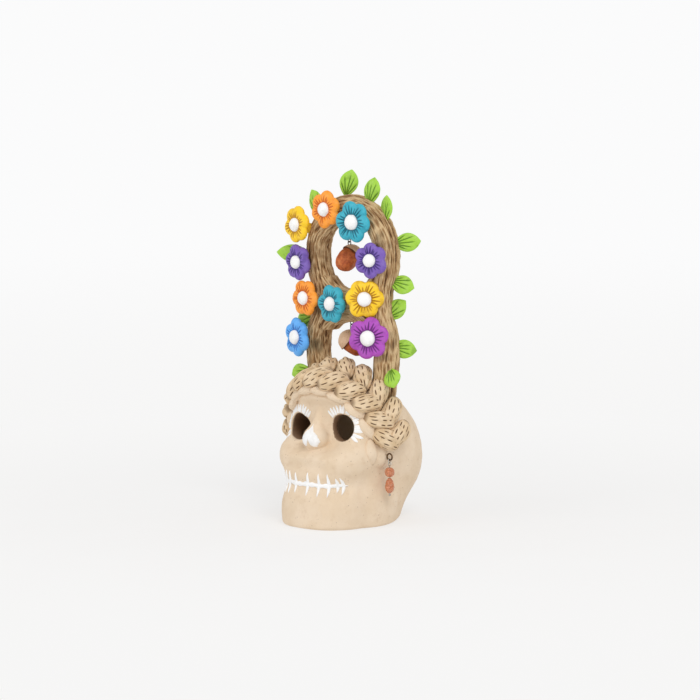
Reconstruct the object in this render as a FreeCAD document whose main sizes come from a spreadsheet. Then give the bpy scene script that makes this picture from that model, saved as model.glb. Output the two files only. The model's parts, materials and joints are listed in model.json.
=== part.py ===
"""Hand-built clay skull ornament with a braided crown, a flowered double-hoop arch and hanging beads.

All lengths are millimetres.  +Z is up, the face looks along -Y and the skull's own left is +X.
The origin is the middle of the flat base.
"""
import FreeCAD, Part
import math
import os

V = FreeCAD.Vector
Rotation = FreeCAD.Rotation
Placement = FreeCAD.Placement

doc = FreeCAD.newDocument("ClaySkull")
sheet = doc.addObject("Spreadsheet::Sheet", "Sizes")

# ---------------------------------------------------------------- driving dimensions
DIMENSIONS = {
    # skull: a tilted cranium, a face and a jaw, all one hollow wall
    "cranium_wide": 36.0, "cranium_long": 49.0, "cranium_short": 33.0,
    "cranium_back": 5.3, "cranium_up": 50.0, "cranium_tilt": -43.0,
    "face_wide": 30.0, "face_deep": 36.0, "face_tall": 28.0, "face_back": -17.4, "face_up": 35.0,
    "temple_wide": 17.5, "temple_deep": 17.0, "temple_tall": 20.0,
    "temple_side": 15.5, "temple_back": -14.5, "temple_up": 55.0,
    "scoop_wide": 42.0, "scoop_deep": 24.0, "scoop_tall": 13.0, "scoop_back": -53.0, "scoop_up": 62.5,
    "scoop_wall": 6.0, "front_round": 55.0, "front_back": 9.0,
    "jaw_wide": 32.0, "jaw_deep": 43.0, "jaw_tall": 45.0, "jaw_back": -8.5, "jaw_up": 12.0,
    "jaw_top": 40.0, "wall": 8.0, "slab_thick": 6.0, "trim_reach": 80.0,
    "nose_wide": 6.5, "nose_deep": 5.8, "nose_tall": 8.5, "nose_back": -34.0, "nose_up": 54.5,
    "socket_radius": 8.0, "socket_side": 17.5, "socket_up": 60.5, "socket_front": -60.0,
    "socket_depth": 52.0, "socket_droop": 2.0,
    # braid: two rows of almond lumps over the head from ear to ear
    "upper_reach": 40.5, "upper_rise": 45.5, "upper_front": -14.0, "upper_sweep": 11.0,
    "lower_reach": 37.6, "lower_rise": 40.0, "lower_front": -30.0, "lower_sweep": 19.5,
    "far_sweep": 15.8, "braid_turns_at": -40.0,
    "braid_up": 50.0, "lump_long": 10.4, "lump_wide": 5.7, "lump_thick": 5.2, "lump_slant": 42.0,
    "hair_reach": 31.4, "hair_rise": 32.6, "hair_front": -32.0, "hair_sweep": 14.0,
    "hair_long": 9.0, "hair_wide": 3.2, "hair_thick": 2.2, "hair_slant": 6.0, "crown_lean": 0.35,
    # arch: one bent coil with a waist, and a cross piece that makes two hoops of it
    "coil_radius": 7.7, "arch_half": 28.2, "arch_round_up": 162.3, "arch_waist_half": 22.4,
    "arch_waist_up": 134.0, "arch_foot_up": 70.0, "arch_foot_bend": 120.0,
    "cross_thick": 12.0, "cross_low": 116.0, "cross_high": 148.0, "cross_half": 20.0,
    "hole_radius": 19.5, "hole_upper_up": 160.5, "hole_lower_up": 101.5,
    # flowers and leaves
    "petal_count": 6.0, "petal_thick": 2.3, "petal_spot": 0.24, "petal_long": 0.26, "petal_wide": 0.21,
    "pad_share": 0.24, "pad_thick": 0.75, "dome_share": 0.185, "dome_rise": 3.0, "dome_lift": 0.8,
    "peg_radius": 3.4, "peg_reach": 0.75,
    "leaf_wide": 11.4, "leaf_thick": 3.0,
    # hanging acorns
    "acorn_radius": 6.2, "acorn_half": 8.6, "cap_radius": 6.9, "cap_seat": 3.4,
    "balance": 1.55,
    "eye_ring": 1.15, "eye_wire": 0.28, "stem_wire": 0.22, "wire_gap": 0.06,
    "hoop_eye_out": 0.5, "cap_eye_out": 0.6,
    # earrings
    "ear_side": 37.8, "ear_back": -8.0, "ear_up": 43.0, "shank_root": 31.2,
    "hook_ring": 1.95, "hook_wire": 0.45, "jump_ring": 1.25, "jump_wire": 0.25,
    "pin_ring": 1.1, "pin_wire": 0.3, "pin_gap": 0.07, "round_radius": 3.05, "bead_gap": 0.2,
    "drop_half": 4.75, "drop_radius": 2.85, "pin_head": 0.75, "pin_neck": 0.9, "pin_root": 0.5,
}

# name: place across and up the arch, distance forward, diameter, turn of the face about the vertical
FLOWERS = {
    "yellow_flower_top_left": (-36.1, 179.0, 10.5, 23.0, -10.0),
    "orange_flower_top": (-11.8, 189.3, 11.0, 23.0, -1.0),
    "teal_flower_top": (11.4, 182.5, 11.5, 25.5, 4.0),
    "purple_flower_left": (-35.3, 156.2, 10.5, 22.5, -8.0),
    "purple_flower_right": (25.6, 160.3, 11.5, 22.0, 14.0),
    "orange_flower_middle_left": (-28.8, 134.7, 11.0, 22.8, -5.0),
    "teal_flower_middle": (-6.0, 132.5, 11.5, 23.6, -4.0),
    "yellow_flower_middle_right": (21.2, 137.0, 12.0, 23.6, 34.0),
    "blue_flower_lower_left": (-36.2, 110.2, 10.5, 24.0, -11.0),
    "violet_flower_lower_right": (24.8, 113.8, 12.5, 25.8, 24.0),
}

# name: place of the base across, back and up, heading, rise, roll, length
LEAVES = {
    "leaf_top": (-6.3, 0.5, 196.6, 43.0, 76.0, 90.0, 17.0),
    "leaf_top_right": (13.0, 0.5, 192.4, 43.0, 78.0, 56.0, 17.0),
    "leaf_right_shoulder": (26.4, 1.0, 182.8, 30.0, 88.0, 48.0, 16.0),
    "leaf_right_upper": (31.0, 2.0, 169.8, 38.0, 6.0, 88.0, 17.0),
    "leaf_right_middle": (30.0, 0.5, 147.6, 22.0, -14.0, 78.0, 16.0),
    "leaf_right_waist": (25.8, 1.0, 124.4, 30.0, 42.0, 82.0, 17.0),
    "leaf_right_lower": (29.6, 1.0, 107.8, 34.0, -7.0, 80.0, 16.5),
    "leaf_right_foot": (34.2, -3.2, 95.6, -34.0, -56.0, 42.0, 13.0),
    "leaf_left_shoulder": (-27.0, 0.0, 184.3, 168.0, 60.0, 98.0, 18.0),
    "leaf_left_upper": (-34.6, 0.5, 159.6, 200.0, 4.0, 88.0, 23.5),
    "leaf_left_waist": (-28.0, -0.5, 124.5, 200.0, -22.0, 80.0, 15.0),
    "leaf_left_foot": (-31.0, -4.0, 90.2, 205.0, -18.0, 80.0, 13.0),
}

# name: place of the hoop's underside across and up, straight wire between loops, heading and drop of the nut
ACORNS = {
    "upper": (-2.5, 182.6, 7.6, 256.0, 40.0),
    "lower": (-0.5, 121.0, 0.0, 43.0, 38.0),
}

row = 0


def drive(alias, value):
    """Puts one driving dimension in the sheet under its alias."""
    global row
    row += 1
    sheet.set(f"A{row}", alias)
    sheet.set(f"B{row}", f"{value}")
    sheet.setAlias(f"B{row}", alias)


for alias, value in DIMENSIONS.items():
    drive(alias, value)
for name, (across, up, forward, diameter, turn) in FLOWERS.items():
    drive(f"{name}_across", across)
    drive(f"{name}_up", up)
    drive(f"{name}_forward", forward)
    drive(f"{name}_size", diameter)
    drive(f"{name}_turn", turn)
for name, (across, back, up, heading, rise, roll, length) in LEAVES.items():
    drive(f"{name}_across", across)
    drive(f"{name}_back", back)
    drive(f"{name}_up", up)
    drive(f"{name}_heading", heading)
    drive(f"{name}_rise", rise)
    drive(f"{name}_roll", roll)
    drive(f"{name}_length", length)
for name, (across, up, wire, heading, drop) in ACORNS.items():
    drive(f"{name}_acorn_across", across)
    drive(f"{name}_acorn_up", up)
    drive(f"{name}_acorn_wire", wire)
    drive(f"{name}_acorn_heading", heading)
    drive(f"{name}_acorn_drop", drop)
doc.recompute()

subparts = []


def size(alias):
    """A driving dimension, read back from the sheet."""
    return float(sheet.get(alias))


def make(kind, name, bindings, placement=None):
    """A document object whose properties are bound to the sheet."""
    thing = doc.addObject(kind, name)
    for prop, expression in bindings.items():
        thing.setExpression(prop, expression)
    if placement:
        thing.Placement = placement
    return thing


def ellipsoid(name, wide, deep, tall, placement):
    """An ellipsoid with half axes along X, Y and Z, each an expression on the sheet."""
    return make("Part::Ellipsoid", name, {"Radius2": wide, "Radius3": deep, "Radius1": tall,
                                          "Angle1": "-90", "Angle2": "90", "Angle3": "360"}, placement)


def box(name, low, high):
    """A plain box between two corners, used to trim other solids."""
    thing = doc.addObject("Part::Box", name)
    thing.Length, thing.Width, thing.Height = [high[i] - low[i] for i in range(3)]
    thing.Placement = Placement(V(*low), Rotation())
    return thing


def combine(kind, name, base, tool):
    """A cut or common of two objects."""
    thing = doc.addObject(kind, name)
    thing.Base = base
    thing.Tool = tool
    return thing


def fuse(name, parts, placement=None):
    """One solid from many."""
    thing = doc.addObject("Part::MultiFuse", name)
    thing.Shapes = parts
    if placement:
        thing.Placement = placement
    return thing


def finish(thing, label):
    """Marks an object as a sub-part that is written to its own file."""
    thing.Label = label
    subparts.append(thing)
    return thing


# ---------------------------------------------------------------- skull
def skull_lobes(prefix, inset):
    """The cranium, temples, face and jaw, shrunk by the wall when they shape the hollow."""
    cranium = ellipsoid(f"{prefix}Cranium", f"Sizes.cranium_wide - {inset}", f"Sizes.cranium_long - {inset}",
                        f"Sizes.cranium_short - {inset}",
                        Placement(V(0, size("cranium_back"), size("cranium_up")),
                                  Rotation(V(1, 0, 0), size("cranium_tilt"))))
    face = ellipsoid(f"{prefix}Face", f"Sizes.face_wide - {inset}", f"Sizes.face_deep - {inset}",
                     f"Sizes.face_tall - {inset}",
                     Placement(V(0, size("face_back"), size("face_up")), Rotation()))
    jaw = ellipsoid(f"{prefix}Jaw", f"Sizes.jaw_wide - {inset}", f"Sizes.jaw_deep - {inset}",
                    "Sizes.jaw_tall", Placement(V(0, size("jaw_back"), size("jaw_up")), Rotation()))
    temples = []
    for side in (-1, 1):
        temples.append(ellipsoid(f"{prefix}Temple{'Left' if side > 0 else 'Right'}", f"Sizes.temple_wide - {inset}",
                                 f"Sizes.temple_deep - {inset}", f"Sizes.temple_tall - {inset}",
                                 Placement(V(side * size("temple_side"), size("temple_back"), size("temple_up")),
                                           Rotation())))
    reach = size("trim_reach")
    trim = box(f"{prefix}JawTrim", (-reach, -reach, 0), (reach, reach, size("jaw_top")))
    floor = box(f"{prefix}Floor", (-reach, -reach, 0), (reach, reach, 2 * reach))
    low_jaw = combine("Part::Common", f"{prefix}LowJaw", jaw, trim)
    above = fuse(f"{prefix}Above", [cranium, face] + temples)
    return fuse(f"{prefix}Whole", [combine("Part::Common", f"{prefix}Upper", above, floor), low_jaw])


def eye_scoop(name, spread):
    """The shallow hollow pressed across the face at the eyes, spread by the wall where the inside follows it."""
    return ellipsoid(name, f"Sizes.scoop_wide + {spread}", f"Sizes.scoop_deep + {spread}",
                     f"Sizes.scoop_tall + {spread}",
                     Placement(V(0, size("scoop_back"), size("scoop_up")), Rotation()))


def front_round(name, inset):
    """The broad upright curve that the front of the face is pressed to, shrunk by the wall for the hollow."""
    return make("Part::Cylinder", name,
                {"Radius": f"Sizes.front_round - {inset}", "Height": "2 * Sizes.trim_reach"},
                Placement(V(0, size("front_back"), 0), Rotation()))


pressed = combine("Part::Common", "PressedSkull", skull_lobes("Outer", "0"), front_round("FrontRound", "0"))
outer = combine("Part::Cut", "ScoopedSkull", pressed, eye_scoop("EyeScoop", "0"))
pressed_hollow = combine("Part::Common", "PressedHollow", skull_lobes("Hollow", "Sizes.wall"),
                         front_round("HollowFrontRound", "Sizes.wall"))
hollow = combine("Part::Cut", "ScoopedHollow", pressed_hollow, eye_scoop("HollowScoop", "Sizes.scoop_wall"))
nose = ellipsoid("Nose", "Sizes.nose_wide", "Sizes.nose_deep", "Sizes.nose_tall",
                 Placement(V(0, size("nose_back"), size("nose_up")), Rotation()))
sockets = []
for side in (-1, 1):
    droop = size("socket_droop") if side < 0 else 0
    start = V(side * size("socket_side"), size("socket_front"), size("socket_up") - droop)
    sockets.append(make("Part::Cylinder", f"Socket{'Left' if side > 0 else 'Right'}",
                        {"Radius": "Sizes.socket_radius", "Height": "Sizes.socket_depth"},
                        Placement(start, Rotation(V(1, 0, 0), -90))))
solid_skull = fuse("SolidSkull", [outer, nose])
hollow_skull = combine("Part::Cut", "HollowSkull", solid_skull, hollow)
finish(combine("Part::Cut", "SkullShell", hollow_skull, fuse("Sockets", sockets)), "skull_shell")

reach = size("trim_reach")
slab_trim = box("SlabTrim", (-reach, -reach, 0), (reach, reach, size("slab_thick")))
pressed_slab = combine("Part::Common", "PressedSlab", skull_lobes("Slab", "Sizes.wall"),
                       front_round("SlabFrontRound", "Sizes.wall"))
finish(combine("Part::Common", "BaseSlab", pressed_slab, slab_trim), "base_slab")


# ---------------------------------------------------------------- braid and hairline
def over_head(row_name, angle):
    """A point of one row of the crown, at an angle from the top of the head towards an ear."""
    a = math.radians(angle)
    sweep = size(f"{row_name}_sweep")
    if angle < 0:
        sweep = min(sweep, size("far_sweep"))
    across = size(f"{row_name}_reach") * math.sin(a)
    back = size(f"{row_name}_front") + sweep * math.sin(a) ** 2
    up = size("braid_up") + size(f"{row_name}_rise") * math.cos(a)
    return V(across, back, up)


def lump_placement(row_name, angle, slant):
    """Lays a lump on the head: its length along the row, turned by the slant in the head's surface."""
    here = over_head(row_name, angle)
    along = over_head(row_name, angle + 2) - over_head(row_name, angle - 2)
    along.normalize()
    outward = V(math.sin(math.radians(angle)), -size("crown_lean"), math.cos(math.radians(angle)))
    outward = outward - along * outward.dot(along)
    outward.normalize()
    swing = Rotation(outward, slant)
    along = swing.multVec(along)
    return Placement(here, Rotation(outward * -1, V(), along, "ZXY"))


def lump_row(name, row_name, angles, slant, sizes):
    """A row of flattened almond lumps, joined where they press on each other."""
    lumps = []
    for i, angle in enumerate(angles):
        turn = slant if angle > size("braid_turns_at") else -slant
        lumps.append(ellipsoid(f"{name}{i}", *sizes, lump_placement(row_name, angle, turn)))
    return fuse(name, lumps)


LUMP = ("Sizes.lump_thick", "Sizes.lump_wide", "Sizes.lump_long")
upper_angles = [-82, -64, -46, -28, -10, 10, 28, 46, 64, 82]
lower_angles = [-84, -68, -51, -34, -17, 0, 17, 34, 51, 68, 84]
finish(lump_row("UpperRow", "upper", upper_angles, -size("lump_slant"), LUMP), "braid_upper_row")
finish(lump_row("LowerRow", "lower", lower_angles, size("lump_slant"), LUMP), "braid_lower_row")

HAIR = ("Sizes.hair_thick", "Sizes.hair_wide", "Sizes.hair_long")
hair_angles = [-96, -72, -50, -30, -10, 10, 30, 50, 72, 96]
finish(lump_row("HairlineRoll", "hair", hair_angles, size("hair_slant"), HAIR), "hairline_roll")


# ---------------------------------------------------------------- arch
def foot_angle():
    """How far the bottom of a leg is bent in towards the middle of the skull, in radians."""
    low = 2 * size("arch_waist_up") - size("arch_round_up")
    return math.asin((low - size("arch_foot_up")) / size("arch_foot_bend"))


def foot_point(side, share):
    """A point on the bent bottom of a leg; share runs from 0 at the knee to 1 at the foot."""
    low = 2 * size("arch_waist_up") - size("arch_round_up")
    bend, angle = size("arch_foot_bend"), foot_angle() * share
    return V(side * (size("arch_half") - bend + bend * math.cos(angle)), 0, low - bend * math.sin(angle))


def arch_side(side):
    """Points and arcs of one leg's centre line, from the foot up to the start of the round top."""
    half, waist = size("arch_half"), size("arch_waist_half")
    top, middle = size("arch_round_up"), size("arch_waist_up")
    theta = 2 * math.atan((half - waist) / (top - middle))
    radius = (top - middle) / (2 * math.sin(theta))
    low = 2 * middle - top

    def on_arc(centre_x, centre_z, angle):
        return V(side * (centre_x + radius * math.cos(angle)), 0, centre_z + radius * math.sin(angle))

    bend_up = half - radius
    bend_in = waist + radius
    knee = V(side * half, 0, low)
    turn_low = on_arc(bend_up, low, theta)
    narrow = V(side * waist, 0, middle)
    turn_high = on_arc(bend_up, top, -theta)
    shoulder = V(side * half, 0, top)
    return [
        Part.Arc(foot_point(side, 1.0), foot_point(side, 0.5), knee),
        Part.Arc(knee, on_arc(bend_up, low, theta / 2), turn_low),
        Part.Arc(turn_low, on_arc(bend_in, middle, math.pi + theta / 2), narrow),
        Part.Arc(narrow, on_arc(bend_in, middle, math.pi - theta / 2), turn_high),
        Part.Arc(turn_high, on_arc(bend_up, top, -theta / 2), shoulder),
    ]


half = size("arch_half")
crown = Part.Arc(V(half, 0, size("arch_round_up")), V(0, 0, size("arch_round_up") + half),
                 V(-half, 0, size("arch_round_up")))
curves = arch_side(1) + [crown] + arch_side(-1)[::-1]
arch_path = doc.addObject("Part::Feature", "ArchPath")
arch_path.Shape = Part.Wire(Part.__sortEdges__([curve.toShape() for curve in curves]))
profile = make("Part::Circle", "CoilProfile", {"Radius": "Sizes.coil_radius"},
               Placement(foot_point(1, 1.0), Rotation(V(0, 1, 0), math.degrees(foot_angle()))))
arch = doc.addObject("Part::Sweep", "TallArch")
arch.Sections = [profile]
arch.Spine = (arch_path, [f"Edge{i + 1}" for i in range(len(curves))])
arch.Solid = True
arch.Frenet = False
finish(combine("Part::Cut", "ArchOnSkull", arch, solid_skull), "arch_coil")

cross_block = box("CrossBlock", (-size("cross_half"), -size("cross_thick") / 2, size("cross_low")),
                  (size("cross_half"), size("cross_thick") / 2, size("cross_high")))
holes = []
for name in ("upper", "lower"):
    centre = V(0, -size("cross_thick"), size(f"hole_{name}_up"))
    holes.append(make("Part::Cylinder", f"Hole{name.title()}",
                      {"Radius": "Sizes.hole_radius", "Height": "2 * Sizes.cross_thick"},
                      Placement(centre, Rotation(V(1, 0, 0), -90))))
waisted = combine("Part::Cut", "WaistedBlock", cross_block, fuse("CrossHoles", holes))
finish(combine("Part::Cut", "CrossPiece", waisted, arch), "arch_cross_piece")


# ---------------------------------------------------------------- flowers
def facing(turn):
    """Turns a piece made with its face along +Z so that it faces forward, then about the vertical."""
    return Rotation(V(0, 0, 1), turn).multiply(Rotation(V(1, 0, 0), 90))


def coil_point(place):
    """The point of the arch's centre line that is nearest to a place, or the middle of the cross piece."""
    near = arch_path.Shape.distToShape(Part.Vertex(place))[1][0][0]
    inside_waist = abs(place.x) < size("arch_waist_half") - size("coil_radius")
    return V(place.x, 0, place.z) if inside_waist and place.z < size("cross_high") else near


def flower(name):
    """Six petals fused into one rosette with the peg that holds it, and the white dome on it."""
    count = int(size("petal_count"))
    across = size(f"{name}_size")
    place = V(size(f"{name}_across"), -size(f"{name}_forward"), size(f"{name}_up"))
    petals = []
    for i in range(count):
        angle = 360.0 * i / count
        spin = Rotation(V(0, 0, 1), angle)
        spot = spin.multVec(V(across * size("petal_spot"), 0, 0))
        petals.append(ellipsoid(f"{name}_petal_{i}", f"Sizes.{name}_size * Sizes.petal_long",
                                f"Sizes.{name}_size * Sizes.petal_wide", "Sizes.petal_thick", Placement(spot, spin)))
    pad = make("Part::Cylinder", f"{name}_pad",
               {"Radius": f"Sizes.{name}_size * Sizes.pad_share",
                "Height": "2 * Sizes.petal_thick * Sizes.pad_thick"},
               Placement(V(0, 0, -size("petal_thick") * size("pad_thick")), Rotation()))
    where = Placement(place, facing(size(f"{name}_turn")))
    reach = coil_point(place) - place
    into = where.Rotation.inverted().multVec(reach)
    peg = make("Part::Cylinder", f"{name}_peg", {"Radius": "Sizes.peg_radius"},
               Placement(V(), Rotation(V(0, 0, 1), into)))
    peg.Height = reach.Length - size("coil_radius") * size("peg_reach")
    finish(fuse(f"{name}_petals", petals + [pad, peg], where), f"{name}_petals")
    dome = ellipsoid(f"{name}_dome", f"Sizes.{name}_size * Sizes.dome_share",
                     f"Sizes.{name}_size * Sizes.dome_share", "Sizes.dome_rise",
                     where.multiply(Placement(V(0, 0, size("petal_thick") * size("dome_lift")), Rotation())))
    finish(dome, f"{name}_centre")


for name in FLOWERS:
    flower(name)


# ---------------------------------------------------------------- leaves
def leaf(name):
    """A pointed oval: the overlap of two discs, lying along its length from the base."""
    length = f"Sizes.{name}_length"
    wide = "Sizes.leaf_wide"
    radius = f"(pow({length}; 2) + pow({wide}; 2)) / (4 * {wide})"
    span, broad = size(f"{name}_length"), size("leaf_wide")
    offset = (span ** 2 + broad ** 2) / (4 * broad) - broad / 2
    discs = []
    for side in (-1, 1):
        discs.append(make("Part::Cylinder", f"{name}_disc_{'a' if side < 0 else 'b'}",
                          {"Radius": radius, "Height": "Sizes.leaf_thick"},
                          Placement(V(span / 2, side * offset, -size("leaf_thick") / 2), Rotation())))
    thing = combine("Part::Common", name, *discs)
    base = V(size(f"{name}_across"), size(f"{name}_back"), size(f"{name}_up"))
    turn = Rotation(size(f"{name}_heading"), -size(f"{name}_rise"), size(f"{name}_roll"))
    thing.Placement = Placement(base, turn)
    finish(thing, name)


for name in LEAVES:
    leaf(name)


# ---------------------------------------------------------------- wire rings
def ring(name, ring_alias, wire_alias, centre, axis):
    """A closed wire ring about an axis through its centre."""
    turn = Rotation(V(0, 0, 1), axis)
    return make("Part::Torus", name, {"Radius1": f"Sizes.{ring_alias}", "Radius2": f"Sizes.{wire_alias}",
                                      "Angle1": "-180", "Angle2": "180", "Angle3": "360"},
                Placement(centre, turn))


def hung_below(bottom_z, upper_wire, own_wire, own_ring):
    """Height of the centre of a ring that hangs on the wire whose centre line is at bottom_z."""
    return bottom_z + upper_wire + own_wire + size("wire_gap") - own_ring


ACROSS = V(1, 0, 0)
FORWARD = V(0, 1, 0)


# ---------------------------------------------------------------- hanging acorns
def rise_to_surface(offset, radius):
    """How far above a point inside a ball, given from the ball's centre, the ball's surface is."""
    return -offset.z + math.sqrt(radius ** 2 - offset.x ** 2 - offset.y ** 2)


def acorn(name):
    """An eye in the hoop, a wire link, and an acorn of nut, cap and eye that hangs from the link."""
    across, up = size(f"{name}_acorn_across"), size(f"{name}_acorn_up")
    stem_length = size(f"{name}_acorn_wire")
    ring_r, wire_r = size("eye_ring"), size("eye_wire")
    eye_z = up - size("hoop_eye_out") * ring_r
    finish(ring(f"{name}_hoop_eye", "eye_ring", "eye_wire", V(across, 0, eye_z), FORWARD), f"{name}_hoop_eye")

    link_top = hung_below(eye_z - ring_r, wire_r, wire_r, ring_r)
    link = ring(f"{name}_top_loop", "eye_ring", "eye_wire", V(across, 0, link_top), ACROSS)
    link_low = link_top
    if stem_length > 0:
        link_low = link_top - stem_length - 2 * ring_r
        stem = make("Part::Cylinder", f"{name}_stem",
                    {"Radius": "Sizes.stem_wire", "Height": f"Sizes.{name}_acorn_wire + Sizes.stem_wire"},
                    Placement(V(across, 0, link_low + ring_r - size("stem_wire") / 2), Rotation()))
        low_loop = ring(f"{name}_low_loop", "eye_ring", "eye_wire", V(across, 0, link_low), ACROSS)
        link = fuse(f"{name}_link", [link, stem, low_loop])
    finish(link, f"{name}_wire_link")

    own_eye = V(across, 0, hung_below(link_low - ring_r, wire_r, wire_r, ring_r))
    finish(ring(f"{name}_acorn_ring", "eye_ring", "eye_wire", own_eye, FORWARD), f"{name}_acorn_eye")

    heading = math.radians(size(f"{name}_acorn_heading"))
    drop = math.radians(size(f"{name}_acorn_drop"))
    along = V(math.cos(heading) * math.cos(drop), math.sin(heading) * math.cos(drop), -math.sin(drop))
    turn = Rotation(V(0, 0, 1), along)
    balance_from_cap = along * (size("cap_seat") - size("balance"))
    cap_rise = rise_to_surface(balance_from_cap, size("cap_radius"))
    hold = own_eye - V(0, 0, size("cap_eye_out") * ring_r + cap_rise)
    nut_centre = hold + along * size("balance")
    nut = ellipsoid(f"{name}_nut", "Sizes.acorn_radius", "Sizes.acorn_radius", "Sizes.acorn_half",
                    Placement(nut_centre, turn))
    seat = nut_centre - along * size("cap_seat")
    dome = make("Part::Sphere", f"{name}_cap_dome", {"Radius": "Sizes.cap_radius"}, Placement(seat, turn))
    half_space = make("Part::Cylinder", f"{name}_cap_trim",
                      {"Radius": "2 * Sizes.cap_radius", "Height": "2 * Sizes.cap_radius"},
                      Placement(seat, turn))
    bowl = combine("Part::Cut", f"{name}_cap_bowl", dome, half_space)
    core = ellipsoid(f"{name}_cap_core", "Sizes.acorn_radius", "Sizes.acorn_radius", "Sizes.acorn_half",
                     Placement(nut_centre, turn))
    finish(nut, f"{name}_acorn_nut")
    finish(combine("Part::Cut", f"{name}_cap", bowl, core), f"{name}_acorn_cap")


for name in ACORNS:
    acorn(name)


# ---------------------------------------------------------------- earrings
def pin_hole(name, place, height):
    """The hole of a bead, a running fit on the pin."""
    return make("Part::Cylinder", name, {"Radius": "Sizes.pin_wire + Sizes.pin_gap", "Height": f"{height}"},
                Placement(place, Rotation()))


def earring(side):
    """A hook with its shank in the clay, a jump ring, and a head pin that carries a round and a drop bead."""
    name = "left" if side > 0 else "right"
    x, y, z = side * size("ear_side"), size("ear_back"), size("ear_up")
    hook_loop = ring(f"{name}_hook_loop", "hook_ring", "hook_wire", V(x, y, z), FORWARD)
    shank = make("Part::Cylinder", f"{name}_hook_shank",
                 {"Radius": "Sizes.hook_wire", "Height": "Sizes.ear_side - Sizes.hook_ring - Sizes.shank_root"},
                 Placement(V(side * size("shank_root"), y, z), Rotation(V(0, 0, 1), V(side, 0, 0))))
    finish(fuse(f"{name}_hook", [hook_loop, shank]), f"{name}_ear_hook")

    hook_low = z - size("hook_ring")
    jump_z = hung_below(hook_low, size("hook_wire"), size("jump_wire"), size("jump_ring"))
    finish(ring(f"{name}_jump", "jump_ring", "jump_wire", V(x, y, jump_z), ACROSS), f"{name}_jump_ring")

    jump_low = jump_z - size("jump_ring")
    loop_z = hung_below(jump_low, size("jump_wire"), size("pin_wire"), size("pin_ring"))
    loop_low = loop_z - size("pin_ring")
    round_z = loop_low - size("pin_neck") - size("round_radius")
    drop_z = round_z - size("round_radius") - size("bead_gap") - size("drop_half")
    tip_z = drop_z - size("drop_half") - size("bead_gap")
    loop = ring(f"{name}_pin_loop", "pin_ring", "pin_wire", V(x, y, loop_z), FORWARD)
    shaft = doc.addObject("Part::Cylinder", f"{name}_shaft")
    shaft.setExpression("Radius", "Sizes.pin_wire")
    shaft.Height = loop_low - tip_z + size("pin_root")
    shaft.Placement = Placement(V(x, y, tip_z - size("pin_root")), Rotation())
    head = make("Part::Sphere", f"{name}_head", {"Radius": "Sizes.pin_head"},
                Placement(V(x, y, tip_z - size("pin_head")), Rotation()))
    finish(fuse(f"{name}_pin", [loop, shaft, head]), f"{name}_head_pin")

    ball = make("Part::Sphere", f"{name}_ball", {"Radius": "Sizes.round_radius"},
                Placement(V(x, y, round_z), Rotation()))
    hole = pin_hole(f"{name}_ball_hole", V(x, y, round_z - 2 * size("round_radius")), 4 * size("round_radius"))
    finish(combine("Part::Cut", f"{name}_round", ball, hole), f"{name}_round_bead")

    drop = ellipsoid(f"{name}_drop", "Sizes.drop_radius", "Sizes.drop_radius", "Sizes.drop_half",
                     Placement(V(x, y, drop_z), Rotation()))
    bore = pin_hole(f"{name}_drop_hole", V(x, y, drop_z - 2 * size("drop_half")), 4 * size("drop_half"))
    finish(combine("Part::Cut", f"{name}_drop_cut", drop, bore), f"{name}_drop_bead")


for side in (1, -1):
    earring(side)

# ---------------------------------------------------------------- check and write
doc.recompute()
failed = [thing.Name for thing in doc.Objects if {"Invalid", "Error"} & set(thing.State)]
for thing in subparts:
    if thing.Shape.isNull() or not thing.Shape.isValid() or not thing.Shape.Solids:
        failed.append(thing.Label)
if failed:
    raise SystemExit(f"failed to build: {failed}")

os.makedirs("parts", exist_ok=True)
for thing in subparts:
    thing.Shape.exportStep(f"parts/{thing.Label}.step")
    bounds = thing.Shape.BoundBox
    print(f"{thing.Label:34s} {thing.Shape.Volume:10.1f} mm3  solids {len(thing.Shape.Solids)}  "
          f"x {bounds.XMin:.1f}..{bounds.XMax:.1f}  y {bounds.YMin:.1f}..{bounds.YMax:.1f}  "
          f"z {bounds.ZMin:.1f}..{bounds.ZMax:.1f}")
print(f"{len(subparts)} sub-parts")
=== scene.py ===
import itertools
import json
import math

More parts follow.
